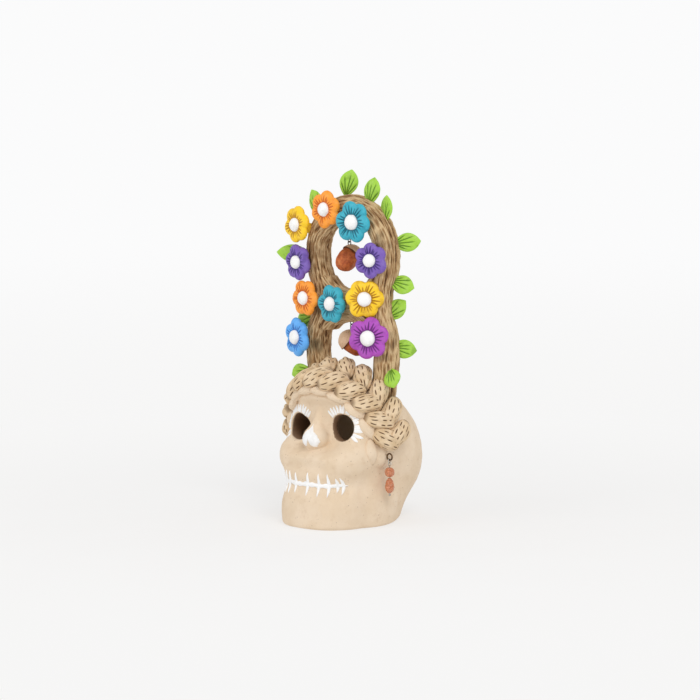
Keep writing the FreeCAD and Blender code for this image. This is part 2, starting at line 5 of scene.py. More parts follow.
import bpy
import numpy as np
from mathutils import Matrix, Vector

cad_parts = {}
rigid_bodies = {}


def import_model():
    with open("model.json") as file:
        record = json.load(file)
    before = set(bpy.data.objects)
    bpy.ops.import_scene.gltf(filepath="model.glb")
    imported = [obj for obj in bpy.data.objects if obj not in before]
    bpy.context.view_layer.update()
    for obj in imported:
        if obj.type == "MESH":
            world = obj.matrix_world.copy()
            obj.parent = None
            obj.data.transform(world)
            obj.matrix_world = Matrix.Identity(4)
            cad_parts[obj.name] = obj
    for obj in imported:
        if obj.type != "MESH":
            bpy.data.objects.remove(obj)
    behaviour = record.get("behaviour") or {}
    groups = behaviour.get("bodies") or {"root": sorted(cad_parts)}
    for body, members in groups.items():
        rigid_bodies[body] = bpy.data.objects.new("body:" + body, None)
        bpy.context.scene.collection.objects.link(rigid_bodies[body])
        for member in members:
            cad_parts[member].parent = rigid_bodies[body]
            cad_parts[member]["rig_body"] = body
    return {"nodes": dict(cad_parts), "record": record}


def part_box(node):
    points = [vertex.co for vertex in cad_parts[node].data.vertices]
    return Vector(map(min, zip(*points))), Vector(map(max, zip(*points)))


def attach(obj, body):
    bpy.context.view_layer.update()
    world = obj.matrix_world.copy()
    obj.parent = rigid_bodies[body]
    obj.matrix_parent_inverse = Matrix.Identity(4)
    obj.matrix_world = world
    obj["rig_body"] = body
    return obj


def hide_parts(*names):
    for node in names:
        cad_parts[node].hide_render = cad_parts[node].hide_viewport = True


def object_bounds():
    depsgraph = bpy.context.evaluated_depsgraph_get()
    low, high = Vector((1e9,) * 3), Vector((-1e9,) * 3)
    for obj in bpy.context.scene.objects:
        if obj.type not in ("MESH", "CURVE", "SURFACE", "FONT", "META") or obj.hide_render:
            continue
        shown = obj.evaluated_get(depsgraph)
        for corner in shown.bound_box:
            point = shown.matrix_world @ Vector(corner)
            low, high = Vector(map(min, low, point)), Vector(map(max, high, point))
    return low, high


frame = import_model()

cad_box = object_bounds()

import openvdb
from mathutils import Vector
from mathutils.bvhtree import BVHTree

MM = 0.001
NODES = frame["nodes"]
FRONT = np.array([0.0, -1.0, 0.0])
UP = np.array([0.0, 0.0, 1.0])


# ---- points, boxes and noise
def unit(v):
    v = np.asarray(v, float)
    return v / np.linalg.norm(v)


def smooth(x):
    """0 to 1 with soft ends."""
    x = np.clip(x, 0, 1)
    return x * x * (3 - 2 * x)


def circle(count):
    """Even steps round a circle, in radians."""
    return np.linspace(0, 2 * math.pi, count, endpoint=False)


def joined(*coordinates):
    """Arrays of coordinates as one array of points."""
    return np.stack(np.broadcast_arrays(*coordinates), -1)


def box(node):
    """A CAD node's box, in millimetres."""
    low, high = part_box(node)
    return np.array(low) / MM, np.array(high) / MM


def node_mesh(node):
    """A CAD node's points and triangles, in millimetres."""
    mesh = NODES[node].data
    points = np.empty(len(mesh.vertices) * 3, np.float32)
    mesh.vertices.foreach_get("co", points)
    mesh.calc_loop_triangles()
    corners = np.empty(len(mesh.loop_triangles) * 3, np.int32)
    mesh.loop_triangles.foreach_get("vertices", corners)
    return points.reshape(-1, 3).astype(float) / MM, corners.reshape(-1, 3)


def node_axes(node):
    """The middle of a CAD node's surface and its long, middle and short directions."""
    points, corners = node_mesh(node)
    a, b, c = (points[corners[:, i]] for i in range(3))
    area = np.linalg.norm(np.cross(b - a, c - a), axis=1)
    middles = (a + b + c) / 3
    centre = (middles * area[:, None]).sum(0) / area.sum()
    spread = (middles - centre).T @ ((middles - centre) * area[:, None])
    vectors = np.linalg.eigh(spread)[1]
    return centre, vectors[:, 2], vectors[:, 1], vectors[:, 0]


def lattice(x, y, z, seed):
    """A fixed value between -1 and 1 at each whole point."""
    h = (x * 73856093) ^ (y * 19349663) ^ (z * 83492791) ^ (seed * 40503)
    h = (h ^ (h >> 13)) * 1274126177
    h = h ^ (h >> 16)
    return (h & 0xFFFF) / 32767.5 - 1


def noise(points, scale, seed=0):
    """Smooth value noise between -1 and 1; scale is the size of its lumps."""
    p = np.asarray(points, float) / scale
    cell = np.floor(p).astype(np.int64)
    f = smooth(p - cell)
    total = np.zeros(len(p))
    for corner in itertools.product((0, 1), repeat=3):
        weight = np.prod(np.where(np.array(corner) == 1, f, 1 - f), axis=1)
        x, y, z = (cell + np.array(corner)).T
        total += weight * lattice(x, y, z, seed)
    return total


# ---- distance fields
def smin(a, b, k):
    """Union with a fillet of about k."""
    h = np.maximum(k - np.abs(a - b), 0) / k
    return np.minimum(a, b) - h * h * k / 4


def smax(a, b, k):
    """The part that is in both, with an edge rounded by about k."""
    return -smin(-a, -b, k)


def ellipsoid(p, centre, semi, tilt=0.0):
    """Distance to an ellipsoid, tilted about X by an angle in degrees."""
    x, y, z = (p[i] - centre[i] for i in range(3))
    if tilt:
        c, s = math.cos(math.radians(tilt)), math.sin(math.radians(tilt))
        y, z = c * y + s * z, c * z - s * y
    a, b, c = semi
    k0 = np.sqrt((x / a) ** 2 + (y / b) ** 2 + (z / c) ** 2)
    k1 = np.sqrt((x / a ** 2) ** 2 + (y / b ** 2) ** 2 + (z / c ** 2) ** 2)
    return k0 * (k0 - 1) / np.maximum(k1, 1e-6)


def capsule(p, start, end, radius_start, radius_end):
    """Distance to a round bar that tapers from one radius to the other."""
    start, end = np.asarray(start, float), np.asarray(end, float)
    along = end - start
    share = sum((p[i] - start[i]) * along[i] for i in range(3)) / (along @ along)
    share = np.clip(share, 0, 1)
    gap = np.sqrt(sum((p[i] - start[i] - share * along[i]) ** 2 for i in range(3)))
    return gap - (radius_start + (radius_end - radius_start) * share)


def surface(field, low, high, step):
    """The zero surface of a distance field as points and quads, in millimetres."""
    low = np.asarray(low, float) - 3 * step
    counts = np.ceil((np.asarray(high) - low) / step).astype(int) + 4
    axes = [(low[i] + step * np.arange(counts[i])).astype(np.float32) for i in range(3)]
    p = np.meshgrid(*axes, indexing="ij", sparse=True)
    values = np.broadcast_to(field(p), counts).astype(np.float32) / step
    grid = openvdb.FloatGrid(8.0)
    grid.copyFromArray(np.ascontiguousarray(np.clip(values, -8, 8)))
    points, quads = grid.convertToQuads()
    return points.astype(float) * step + low, [tuple(q) for q in quads.tolist()]


# ---- meshes and pieces
def loft(rings, ends=True, around=False):
    """Quads between rings of points.

    Each end closes on its ring's middle; with around, the last ring joins the first instead.
    """
    n, m = rings.shape[:2]
    index = np.arange(n * m).reshape(n, m)
    rows = np.vstack([index, index[:1]]) if around else index
    a, b = rows[:-1], rows[1:]
    quads = np.stack([a, np.roll(a, -1, 1), np.roll(b, -1, 1), b], -1).reshape(-1, 4)
    points = rings.reshape(-1, 3)
    faces = [tuple(q) for q in quads.tolist()]
    if ends and not around:
        points = np.vstack([points, rings[0].mean(0), rings[-1].mean(0)])
        first, last = index[0].tolist(), index[-1].tolist()
        faces += [(first[(i + 1) % m], first[i], n * m) for i in range(m)]
        faces += [(last[i], last[(i + 1) % m], n * m + 1) for i in range(m)]
    return points, faces


def merge(parts):
    """Several (points, faces) as one."""
    points, faces, start = [], [], 0
    for some, those in parts:
        points.append(some)
        faces += [tuple(i + start for i in face) for face in those]
        start += len(some)
    return np.vstack(points), faces


def volume(points, faces):
    """The volume inside the faces; it is negative when they are turned inward."""
    total = 0.0
    for size in (3, 4):
        ring = np.array([f for f in faces if len(f) == size])
        if len(ring):
            for i in range(1, size - 1):
                a, b, c = (points[ring[:, j]] for j in (0, i, i + 1))
                total += np.einsum("ij,ij->i", a, np.cross(b, c)).sum()
    return total / 6


def mesh_of(name, points, faces, flat=False):
    """A mesh in metres with its faces turned outward."""
    if volume(points, faces) < 0:
        faces = [face[::-1] for face in faces]
    mesh = bpy.data.meshes.new(name)
    mesh.from_pydata((points * MM).tolist(), [], faces)
    mesh.update()
    mesh.polygons.foreach_set("use_smooth", [not flat] * len(mesh.polygons))
    return mesh


def normals_of(points, faces):
    """Outward unit normals at the points."""
    mesh = mesh_of("scratch", points, faces)
    found = np.empty(len(points) * 3, np.float32)
    mesh.vertex_normals.foreach_get("vector", found)
    bpy.data.meshes.remove(mesh)
    return found.reshape(-1, 3).astype(float)


def paint_points(mesh, name, values):
    """Stores one number per point for the materials."""
    attribute = mesh.attributes.new(name, "FLOAT", "POINT")
    attribute.data.foreach_set("value", np.asarray(values, np.float32))


def paint_vectors(mesh, name, values):
    """Stores one vector per point for the materials."""
    attribute = mesh.attributes.new(name, "FLOAT_VECTOR", "POINT")
    attribute.data.foreach_set("vector", np.asarray(values, np.float32).ravel())


def added(name, data):
    """A new object in the scene."""
    thing = bpy.data.objects.new(name, data)
    bpy.context.scene.collection.objects.link(thing)
    return thing


def piece(name, mesh, material, slot, nodes=()):
    """Adds a mesh as a piece on the body of the CAD nodes it stands for, or else on the root."""
    thing = added(name, mesh)
    mesh.materials.append(material)
    body = "root"
    if nodes:
        body = NODES[nodes[0]]["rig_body"]
        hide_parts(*nodes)
    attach(thing, body)


# ---- materials
def srgb(*values):
    """A colour given as 0 to 255 per channel, as the linear colour the shaders use."""
    shares = [v / 255 for v in values]
    out = [v / 12.92 if v <= 0.04045 else ((v + 0.055) / 1.055) ** 2.4 for v in shares]
    return (*out, 1.0)


# The places of a mix node's colour sockets: the two it mixes, and the result.
MIX_A, MIX_B, MIX_RESULT = 6, 7, 2
LIGHTER = 0.11


class Material:
    """A node material built a step at a time."""

    def __init__(self, name, roughness, specular=0.35, **settings):
        self.material = bpy.data.materials.new(name)
        self.material.use_nodes = True
        self.tree = self.material.node_tree
        self.shader = self.tree.nodes["Principled BSDF"]
        self.shader.inputs["Roughness"].default_value = roughness
        self.shader.inputs["Specular IOR Level"].default_value = specular
        for socket, value in settings.items():
            self.shader.inputs[socket.replace("_", " ")].default_value = value
        self.place = self.node("TexCoord").outputs["Object"]

    def join(self, value, socket):
        """Links a socket to an input, or sets the input to a value."""
        if isinstance(value, bpy.types.NodeSocket):
            self.tree.links.new(value, socket)
        else:
            socket.default_value = value

    def node(self, kind, inputs=(), **settings):
        """A new shader node with its settings and what goes into its inputs."""
        made = self.tree.nodes.new("ShaderNode" + kind)
        for key, value in settings.items():
            setattr(made, key, value)
        for key, value in dict(inputs).items():
            self.join(value, made.inputs[key])
        return made

    def stretched(self, vector, scale):
        return self.node("VectorMath", {0: vector, 1: scale}, operation="MULTIPLY").outputs[0]

    def noise(self, size, detail=3.0, roughness=0.55, vector=None, distortion=0.0):
        """Noise whose lumps are size millimetres across."""
        made = self.node("TexNoise", {
            "Vector": self.place if vector is None else vector, "Scale": 1.0 / (size * MM),
            "Detail": detail, "Roughness": roughness, "Distortion": distortion})
        return made.outputs["Fac"]

    def cells(self, size):
        """Distance to the nearest of many spots about size millimetres apart."""
        made = self.node("TexVoronoi", {"Vector": self.place, "Scale": 1.0 / (size * MM)})
        return made.outputs["Distance"]

    def attribute(self, name, vector=False):
        made = self.node("Attribute", attribute_name=name)
        return made.outputs["Vector" if vector else "Fac"]

    def fit(self, value, low, high, out_low=0.0, out_high=1.0):
        """Takes low to out_low and high to out_high, with soft ends."""
        ends = {"Value": value, "From Min": low, "From Max": high,
                "To Min": out_low, "To Max": out_high}
        return self.node("MapRange", ends, interpolation_type="SMOOTHSTEP").outputs[0]

    def sums(self, a, b):
        return self.node("Math", {0: a, 1: b}, operation="ADD").outputs[0]

    def mix(self, share, a, b):
        """Colour a, going over to colour b by a share from 0 to 1."""
        made = self.node("Mix", {"Factor": share, MIX_A: a, MIX_B: b}, data_type="RGBA")
        return made.outputs[MIX_RESULT]

    def bump(self, height, depth, strength):
        """Relief depth millimetres deep, on top of what is there already."""
        made = self.node("Bump", {"Strength": strength, "Distance": depth * MM, "Height": height})
        last = self.shader.inputs["Normal"]
        if last.is_linked:
            self.join(last.links[0].from_socket, made.inputs["Normal"])
        self.join(made.outputs[0], last)

    def finish(self, colour, rough=None):
        self.join(colour, self.shader.inputs["Base Color"])
        if rough is not None:
            self.join(rough, self.shader.inputs["Roughness"])
        return self.material


def clay(name, light, middle, dark, speck_and_shade, patch=14.0):
    """Fired clay: soft patches, grog specks and tooling marks, with painted shade in the hollows
    that the shade mask marks.
    """
    m = Material(name, roughness=0.88, specular=0.22)
    colour = m.mix(m.fit(m.noise(patch, 4.0), 0.32, 0.7), middle, light)
    colour = m.mix(m.fit(m.noise(patch * 0.35, 5.0, 0.65), 0.5, 0.78, 0.0, 0.45), colour, dark)
    colour = m.mix(m.fit(m.noise(0.9, 2.0), 0.64, 0.76, 0.0, 0.4), colour, dark)
    colour = m.mix(m.fit(m.cells(3.2), 0.0, 0.16, 0.55, 0.0), colour, speck_and_shade)
    # Painted shade: darker where the shade mask marks sockets, incised dashes, lump ends and cap
    # rims.
    colour = m.mix(m.fit(m.attribute("shade_mask"), 0.12, 0.75), colour, speck_and_shade)
    m.bump(m.noise(0.55, 4.0, 0.7), 0.10, 0.7)
    m.bump(m.noise(2.6, 3.0, vector=m.stretched(m.place, (1.0, 1.0, 0.22))), 0.16, 0.6)
    m.bump(m.fit(m.cells(1.7), 0.0, 0.12), 0.10, 0.5)
    return m.finish(colour, m.fit(m.noise(6.0), 0.3, 0.7, 0.8, 0.95))


def bark(name):
    """Clay combed to a bark of long fibres, with painted shade between them and a painted highlight
    on their backs.
    """
    dark, middle, light = srgb(84, 56, 34), srgb(164, 128, 88), srgb(214, 186, 144)
    m = Material(name, roughness=0.9, specular=0.2)
    comb = m.attribute("comb", vector=True)
    fibre = m.noise(0.8, 4.0, 0.65, vector=comb)
    fine = m.noise(0.36, 2.0, 0.6, vector=comb)
    relief_shading = m.attribute("relief_shading")
    # Painted shade on the low fibres and painted highlight on the high ones, from the relief and
    # the fibre bumps.
    level = m.sums(m.fit(relief_shading, 0.15, 0.85, 0.0, 0.62), m.fit(fibre, 0.3, 0.7, 0.0, 0.38))
    colour = m.mix(m.fit(level, 0.16, 0.46), dark, middle)
    colour = m.mix(m.fit(level, 0.46, 0.86), colour, light)
    colour = m.mix(m.fit(m.noise(11.0, 3.0), 0.5, 0.72, 0.0, 0.5), colour, srgb(118, 84, 54))
    colour = m.mix(m.fit(m.noise(17.0, 2.0), 0.55, 0.7, 0.0, 0.55), colour, srgb(108, 98, 74))
    # Painted highlight on the fine fibres that the bump raises.
    colour = m.mix(m.fit(fine, 0.62, 0.8, 0.0, 0.5), colour, light)
    m.bump(fibre, 0.5, 0.8)
    m.bump(fine, 0.2, 0.8)
    return m.finish(colour)


def lighter(colour):
    """A colour a little way towards white."""
    return (*[c + (1 - c) * LIGHTER for c in colour[:3]], 1.0)


def paint(name, colour, shade):
    """Brushed matt paint over clay, with streaks, and painted shade in the grooves and hollows that
    the shade mask marks.
    """
    m = Material(name, roughness=0.5, specular=0.4)
    base = m.mix(m.fit(m.noise(2.4, 4.0, 0.6), 0.35, 0.7, 0.0, 0.35), colour, lighter(colour))
    base = m.mix(m.fit(m.noise(5.0, 2.0), 0.52, 0.75, 0.0, 0.4), base, shade)
    # Painted shade where the mask marks score lines, veins, leaf bases and the foot of each dome.
    base = m.mix(m.fit(m.attribute("shade_mask"), 0.05, 0.9, 0.0, 0.85), base, shade)
    m.bump(m.noise(0.5, 3.0, 0.7), 0.07, 0.6)
    m.bump(m.noise(1.6, 2.0, vector=m.stretched(m.place, (1.0, 1.0, 0.3))), 0.12, 0.5)
    return m.finish(base, m.fit(m.noise(3.0), 0.3, 0.7, 0.42, 0.62))


def metal(name, colour, tarnish, roughness):
    """Thin wire with darker patches of tarnish."""
    m = Material(name, roughness=roughness, specular=0.5, Metallic=1.0)
    base = m.mix(m.fit(m.noise(0.9, 4.0), 0.4, 0.7), colour, tarnish)
    m.bump(m.noise(0.2, 2.0), 0.02, 0.5)
    return m.finish(base, m.fit(m.noise(0.6, 3.0), 0.35, 0.7, roughness * 0.75, roughness * 1.4))


def glass(name):
    """Cloudy amber bead glass."""
    m = Material(name, roughness=0.22, specular=0.5, Transmission_Weight=0.35, IOR=1.5)
    clouds = m.fit(m.noise(2.2, 3.0, distortion=1.0), 0.35, 0.68)
    base = m.mix(clouds, srgb(230, 156, 116), srgb(206, 122, 80))
    base = m.mix(m.fit(m.noise(0.9, 3.0), 0.6, 0.75, 0.0, 0.2), base, srgb(244, 190, 152))
    m.bump(m.noise(0.5, 2.0), 0.03, 0.4)
    return m.finish(base, m.fit(m.noise(1.5), 0.3, 0.7, 0.16, 0.32))


def nut_skin(name):
    """Orange-brown wash on the nuts, streaked from end to end."""
    m = Material(name, roughness=0.62, specular=0.35)
    comb = m.attribute("comb", vector=True)
    base = m.mix(m.fit(m.noise(2.2, 4.0, 0.6), 0.36, 0.68), srgb(196, 104, 54), srgb(160, 74, 36))
    base = m.mix(m.fit(m.noise(3.5, 3.0), 0.52, 0.75, 0.0, 0.6), base, srgb(214, 132, 76))
    m.bump(m.noise(0.8, 4.0, 0.7, vector=comb), 0.12, 0.6)
    m.bump(m.noise(0.9, 4.0, 0.7), 0.2, 0.7)
    return m.finish(base)


SKULL_CLAY = clay("skull_clay", srgb(233, 213, 188), srgb(225, 203, 175),
                  srgb(206, 178, 146), srgb(120, 88, 62))
BRAID_CLAY = clay("braid_clay", srgb(230, 207, 175), srgb(215, 188, 151),
                  srgb(192, 158, 118), srgb(88, 56, 32), patch=8.0)
CAP_CLAY = clay("cap_clay", srgb(226, 194, 164), srgb(210, 172, 138),
                srgb(180, 136, 102), srgb(96, 60, 38), patch=4.0)
BARK = bark("bark")
WHITE = paint("white_paint", srgb(246, 246, 246), srgb(222, 220, 216))
GREEN = paint("green_paint", srgb(160, 208, 62), srgb(74, 118, 20))
NUT = nut_skin("nut")
GLASS = glass("bead_glass")
PETAL_PAINTS = {
    "yellow": (srgb(252, 206, 22), srgb(176, 120, 6)),
    "orange": (srgb(253, 158, 42), srgb(196, 88, 12)),
    "teal": (srgb(48, 172, 194), srgb(8, 96, 118)),
    "purple": (srgb(118, 88, 178), srgb(56, 34, 112)),
    "blue": (srgb(92, 172, 244), srgb(30, 96, 178)),
    "violet": (srgb(174, 72, 186), srgb(98, 24, 112)),
}
PETALS = {name: paint(f"{name}_paint", *pair) for name, pair in PETAL_PAINTS.items()}
METALS = {
    "bronze_wire": metal("bronze_wire", srgb(120, 92, 62), srgb(58, 42, 28), 0.42),
    "silver_wire": metal("silver_wire", srgb(208, 204, 196), srgb(132, 124, 112), 0.3),
    "dark_wire": metal("dark_wire", srgb(84, 78, 72), srgb(40, 36, 32), 0.4),
}

# ---- skull
# Forms are (middle, half sizes) in millimetres, and the cranium has a tilt about X in degrees too.
CRANIUM = ((0, 5.3, 50.0), (36.0, 49.0, 33.0), -43.0)
FACE = ((0, -17.4, 35.0), (30.0, 36.0, 28.0))
TEMPLE = ((15.5, -14.5, 55.0), (17.5, 17.0, 20.0))
JAW = ((0, -8.5, 12.0), (32.0, 43.0, 45.0))
JAW_TOP = 40.0
NAPE = ((0, 13.0, 26.0), (25.0, 25.5, 30.0))
CHEEK = ((22.0, -22.5, 42.0), (9.8, 13.8, 10.0))
NOSE_TIP = ((0, -32.0, 52.6), (8.6, 7.4, 7.0))
NOSE_BRIDGE = ((0, -31.5, 56.0), (0, -28.0, 69.0), 5.2, 2.4)
NOSE_SIDE = ((9.5, -32.3, 60.0), (3.4, 5.2, 8.0))
EAR_LOBE = ((33.0, -11.0, 43.5), (3.2, 4.4, 6.0))
BLEND, WALL = 5.0, 8.0
# The upper face is pressed flat, and the lower face round, about an upright axis in the skull.
PLANE_FRONT, PLANE_STEP, PLANE_BOW = -29.2, 13.5, 1.6
ROUND_RADIUS, ROUND_BACK = 55.0, 9.0
HOLLOW_FRONT, HOLLOW_STEP, HOLLOW_FLARE = -23.0, 8.0, 0.7
MOUTH_DEEP, MOUTH_TALL = 3.7, 8.5
JAW_TAPER, JAW_GROOVE = 2.4, 1.6
SOCKET_SIDE, SOCKET_UP, SOCKET_RADIUS, DROOP = 17.5, 60.5, 8.0, 2.0
SOCKET_BACK = -8.0
MOUTH_UP, MOUTH_HALF = 27.0, 24.0
STITCHES = (-23.6, -20.5, -16.6, -13.0, -7.0, 3.0, 11.0, 17.0, 20.8, 22.6)


def lobes(p, inset, blend):
    """Cranium, temples, face and jaw as one soft form, as in the CAD part."""
    cranium = ellipsoid(p, CRANIUM[0], [s - inset for s in CRANIUM[1]], CRANIUM[2])
    temple = ellipsoid((np.abs(p[0]), p[1], p[2]), TEMPLE[0], [s - inset for s in TEMPLE[1]])
    face = ellipsoid(p, FACE[0], [s - inset for s in FACE[1]])
    jaw = ellipsoid(p, JAW[0], (JAW[1][0] - inset, JAW[1][1] - inset, JAW[1][2]))
    jaw = smax(jaw, p[2] - JAW_TOP, 3.0)
    return smin(smin(smin(cranium, temple, blend), face, blend * 2), jaw, blend)


def plain_skull(p):
    """Distance to the skull's plain outer form."""
    return lobes(p, 0.0, BLEND)


def eye_height(x):
    """How high the eye socket on that side is; the far one droops."""
    return np.where(x < 0, SOCKET_UP - DROOP, SOCKET_UP)


def skull_field(p):
    """Distance to the hand-shaped skull, with its sockets and its hollow."""
    x, y, z = p
    side = np.abs(x)
    d = plain_skull(p)
    nape = smooth((y - 4.0) / 14.0)
    d = smin(d, ellipsoid(p, *NAPE), 9.0) * nape + d * (1 - nape)

    eyes = smooth((z - 41.5) / 9.5) * smooth((84.0 - z) / 12.0)
    plane = PLANE_FRONT - PLANE_STEP * (1 - eyes) - y + PLANE_BOW * (side / 24.0) ** 2
    flat = smax(d, plane, 4.0)
    lower = smooth((z - 30.0) / 8.0)
    d = flat * lower + smax(d, np.hypot(x, y - ROUND_BACK) - ROUND_RADIUS, 3.0) * (1 - lower)
    d = smin(d, ellipsoid((side, y, z), *CHEEK), 6.0)

    front = smooth((-y - 6.0) / 22.0)
    mouth_dent = np.exp(-((z - MOUTH_UP) / MOUTH_TALL) ** 2)
    d = d + MOUTH_DEEP * mouth_dent * front * smooth((31.0 - side) / 9.0)
    d = d + JAW_TAPER * smooth((24.0 - z) / 24.0) * smooth((y + 6.0) / 24.0)
    jaw_groove = np.exp(-((y + 20.0) / 5.5) ** 2)
    d = d + JAW_GROOVE * jaw_groove * smooth((40.0 - z) / 18.0) * smooth((side - 12.0) / 12.0)

    nose = smin(ellipsoid(p, *NOSE_TIP), capsule(p, *NOSE_BRIDGE), 5.0)
    d = smax(d, -ellipsoid((side, y, z), *NOSE_SIDE), 3.0)
    d = smin(d, nose, 2.5)
    d = smin(d, ellipsoid((side, y, z), *EAR_LOBE), 3.0)

    sockets = np.sqrt((side - SOCKET_SIDE) ** 2 + (z - eye_height(x)) ** 2) - SOCKET_RADIUS
    d = smax(d, -smax(sockets, y - SOCKET_BACK, 1.0), 0.7)
    wall_plane = HOLLOW_FRONT - HOLLOW_STEP * smooth((44.0 - z) / 8.0) - y
    hollow = smax(lobes(p, WALL, 2.0), wall_plane, 2.0)
    hollow = hollow - HOLLOW_FLARE * smooth((1.4 - z) / 1.0)
    d = smax(d, -hollow, 0.8)
    return smax(d, -z, 2.2)


low, high = box("skull_shell")
points, faces = surface(skull_field, low, high, 0.6)
normals = normals_of(points, faces)
outer = smooth((plain_skull(points.T) + 5.0) / 2.5) * smooth((points[:, 2] - 0.6) / 2.0)
handling = (0.34 * noise(points, 11.0, 1) + 0.16 * noise(points, 4.2, 2)
            + 0.06 * noise(points, 1.6, 3))
points = points + normals * (handling * outer)[:, None]
skull_mesh = mesh_of("shaped_skull_shell", points, faces)
# Painted shade: the sockets' walls darken from their rims inward, more so deeper in.
socket_shade = 0.62 * smooth((points[:, 1] + 29.6) / 1.6) + 0.23 * smooth((points[:, 1] + 28.0) / 14.0)
socket_shade = socket_shade * (1 - smooth((plain_skull(points.T) + 3.0) / 2.0))
from_eye = np.hypot(np.abs(points[:, 0]) - SOCKET_SIDE, points[:, 2] - eye_height(points[:, 0]))
inside = from_eye < SOCKET_RADIUS + 0.5
paint_points(skull_mesh, "shade_mask", np.where(inside & (points[:, 1] < -6.0), socket_shade, 0.0))
piece("shaped_skull_shell", skull_mesh, SKULL_CLAY, "clay_skull", ["skull_shell"])
skin = BVHTree.FromPolygons([Vector(p) for p in points.tolist()], faces)


def on_face(across, up):
    """The point of the face in front of a place across and up, and the direction out of it."""
    hit, normal, _, _ = skin.ray_cast(Vector((across, -90.0, up)), Vector((0, 1, 0)))
    return np.array(hit), np.array(normal)


PAINT_SUNK, STROKE_SIDES = 0.3, 10
HEART_MIDDLE, HEART_HALF, HEART_RISE = (0.4, 54.1), (6.6, 7.2), 0.46


def stroke(line, widths, rise=0.34):
    """One brush stroke of thick paint that follows the face along a line of (across, up) places."""
    placed = [on_face(*spot) for spot in line]
    spots = np.array([spot for spot, _ in placed])
    outs = np.array([out for _, out in placed])
    outs = np.array([outs[max(i - 2, 0):i + 3].mean(0) for i in range(len(outs))])
    outs /= np.linalg.norm(outs, axis=1)[:, None]
    along = np.gradient(spots, axis=0)
    across = np.cross(along, outs)
    across /= np.linalg.norm(across, axis=1)[:, None]
    angle = circle(STROKE_SIDES)
    lift = np.sin(angle) * np.where(np.sin(angle) > 0, rise, PAINT_SUNK)
    widths = np.asarray(widths)
    thin = np.minimum(widths / 0.35, 1.0)
    rings = (spots[:, None] + across[:, None] * (widths[:, None] * np.cos(angle))[..., None]
             + outs[:, None] * (lift * thin[:, None])[..., None])
    return loft(rings)


def painted(name, parts):
    """Adds strokes of white paint as one piece."""
    mesh = mesh_of(name, *merge(parts))
    paint_points(mesh, "shade_mask", np.zeros(len(mesh.vertices)))
    piece(name, mesh, WHITE, "white_paint")


rng = np.random.default_rng(3)
lashes = []
for side in (-1, 1):
    for i in range(17):
        angle = math.radians(138.0 - i * 10.6 + rng.uniform(-2.0, 2.0))
        lean = angle + math.radians(rng.uniform(-8, 8))
        start = SOCKET_RADIUS + rng.uniform(0.5, 1.2)
        reach = rng.uniform(4.4, 6.0)
        share = np.linspace(0, 1, 9)
        across = side * (SOCKET_SIDE + start * math.cos(angle) + share * reach * math.cos(lean))
        up = (SOCKET_UP - DROOP * (side < 0) + start * math.sin(angle)
              + share * reach * math.sin(lean))
        taper = np.sqrt(np.clip(1.06 - (2 * share - 0.75) ** 2 / 1.6, 0.02, 1))
        lashes.append(stroke(list(zip(across, up)), rng.uniform(0.78, 1.05) * taper))
painted("painted_eye_lashes", lashes)


def heart_patch():
    """An upside-down heart of thick paint over the nose."""
    angle = circle(72)
    wide = np.sin(angle) ** 3
    tall = -(13 * np.cos(angle) - 5 * np.cos(2 * angle)
             - 2 * np.cos(3 * angle) - np.cos(4 * angle)) / 16
    tall = tall + 0.26 * np.exp(-(wide / 0.25) ** 2) * smooth(np.cos(angle))
    brush = 1 + 0.035 * np.sin(13 * angle) + 0.025 * np.sin(29 * angle + 1.0)
    shares = np.array([1.0, 0.96, 0.88, 0.74, 0.56, 0.36, 0.16])
    rings = []
    for sunk in (True, False):
        for share in shares[::-1] if sunk else shares:
            ring = []
            for a, b in zip(wide * brush, tall * brush):
                spot, out = on_face(HEART_MIDDLE[0] + HEART_HALF[0] * a * share,
                                    HEART_MIDDLE[1] + HEART_HALF[1] * b * share)
                rise = HEART_RISE * (1 - share ** 8) ** 0.5
                ring.append(spot + out * (-PAINT_SUNK if sunk else rise))
            rings.append(ring)
    return loft(np.array(rings))


painted("painted_nose_heart", [heart_patch()])

mouth = []
share = np.linspace(-1, 1, 61)
jitter = 0.35 * np.sin(share * 9.0) + 0.2 * np.sin(share * 23.0)
lip_widths = 1.4 * np.clip(1.1 - np.abs(share) ** 8, 0.2, 1) * (1 + 0.2 * np.sin(share * 31))
lip_line = zip(MOUTH_HALF * share, MOUTH_UP - 0.4 + jitter * 0.5)
mouth.append(stroke(lip_line, lip_widths, rise=0.75))
for across in STITCHES:
    tall = rng.uniform(6.2, 7.8) * (0.72 if abs(across) > 19 else 1.0)
    lean = rng.uniform(-0.05, 0.05)
    share = np.linspace(-1, 1, 21)
    ups = MOUTH_UP - 0.4 + tall * share + rng.uniform(-0.5, 0.5)
    widths = rng.uniform(0.95, 1.25) * np.clip(1.03 - np.abs(share) ** 2, 0.05, 1)
    mouth.append(stroke(zip(across + lean * tall * share, ups), widths, rise=0.7))
painted("painted_stitched_mouth", mouth)


# ---- braid and hairline
# Each row: how far it reaches sideways and rises, its front and its sweep back at the ears, in
# millimetres; the places of its lumps and their slant, in degrees.
ROWS = {
    "braid_upper_row": (40.5, 45.5, -14.0, 11.0,
                        (-82, -64, -46, -28, -10, 10, 28, 46, 64, 82), -42.0),
    "braid_lower_row": (37.6, 40.0, -30.0, 19.5,
                        (-84, -68, -51, -34, -17, 0, 17, 34, 51, 68, 84), 42.0),
    "hairline_roll": (33.2, 33.0, -32.8, 14.0,
                      (-96, -72, -50, -30, -10, 10, 30, 50, 72, 96), 15.0),
}
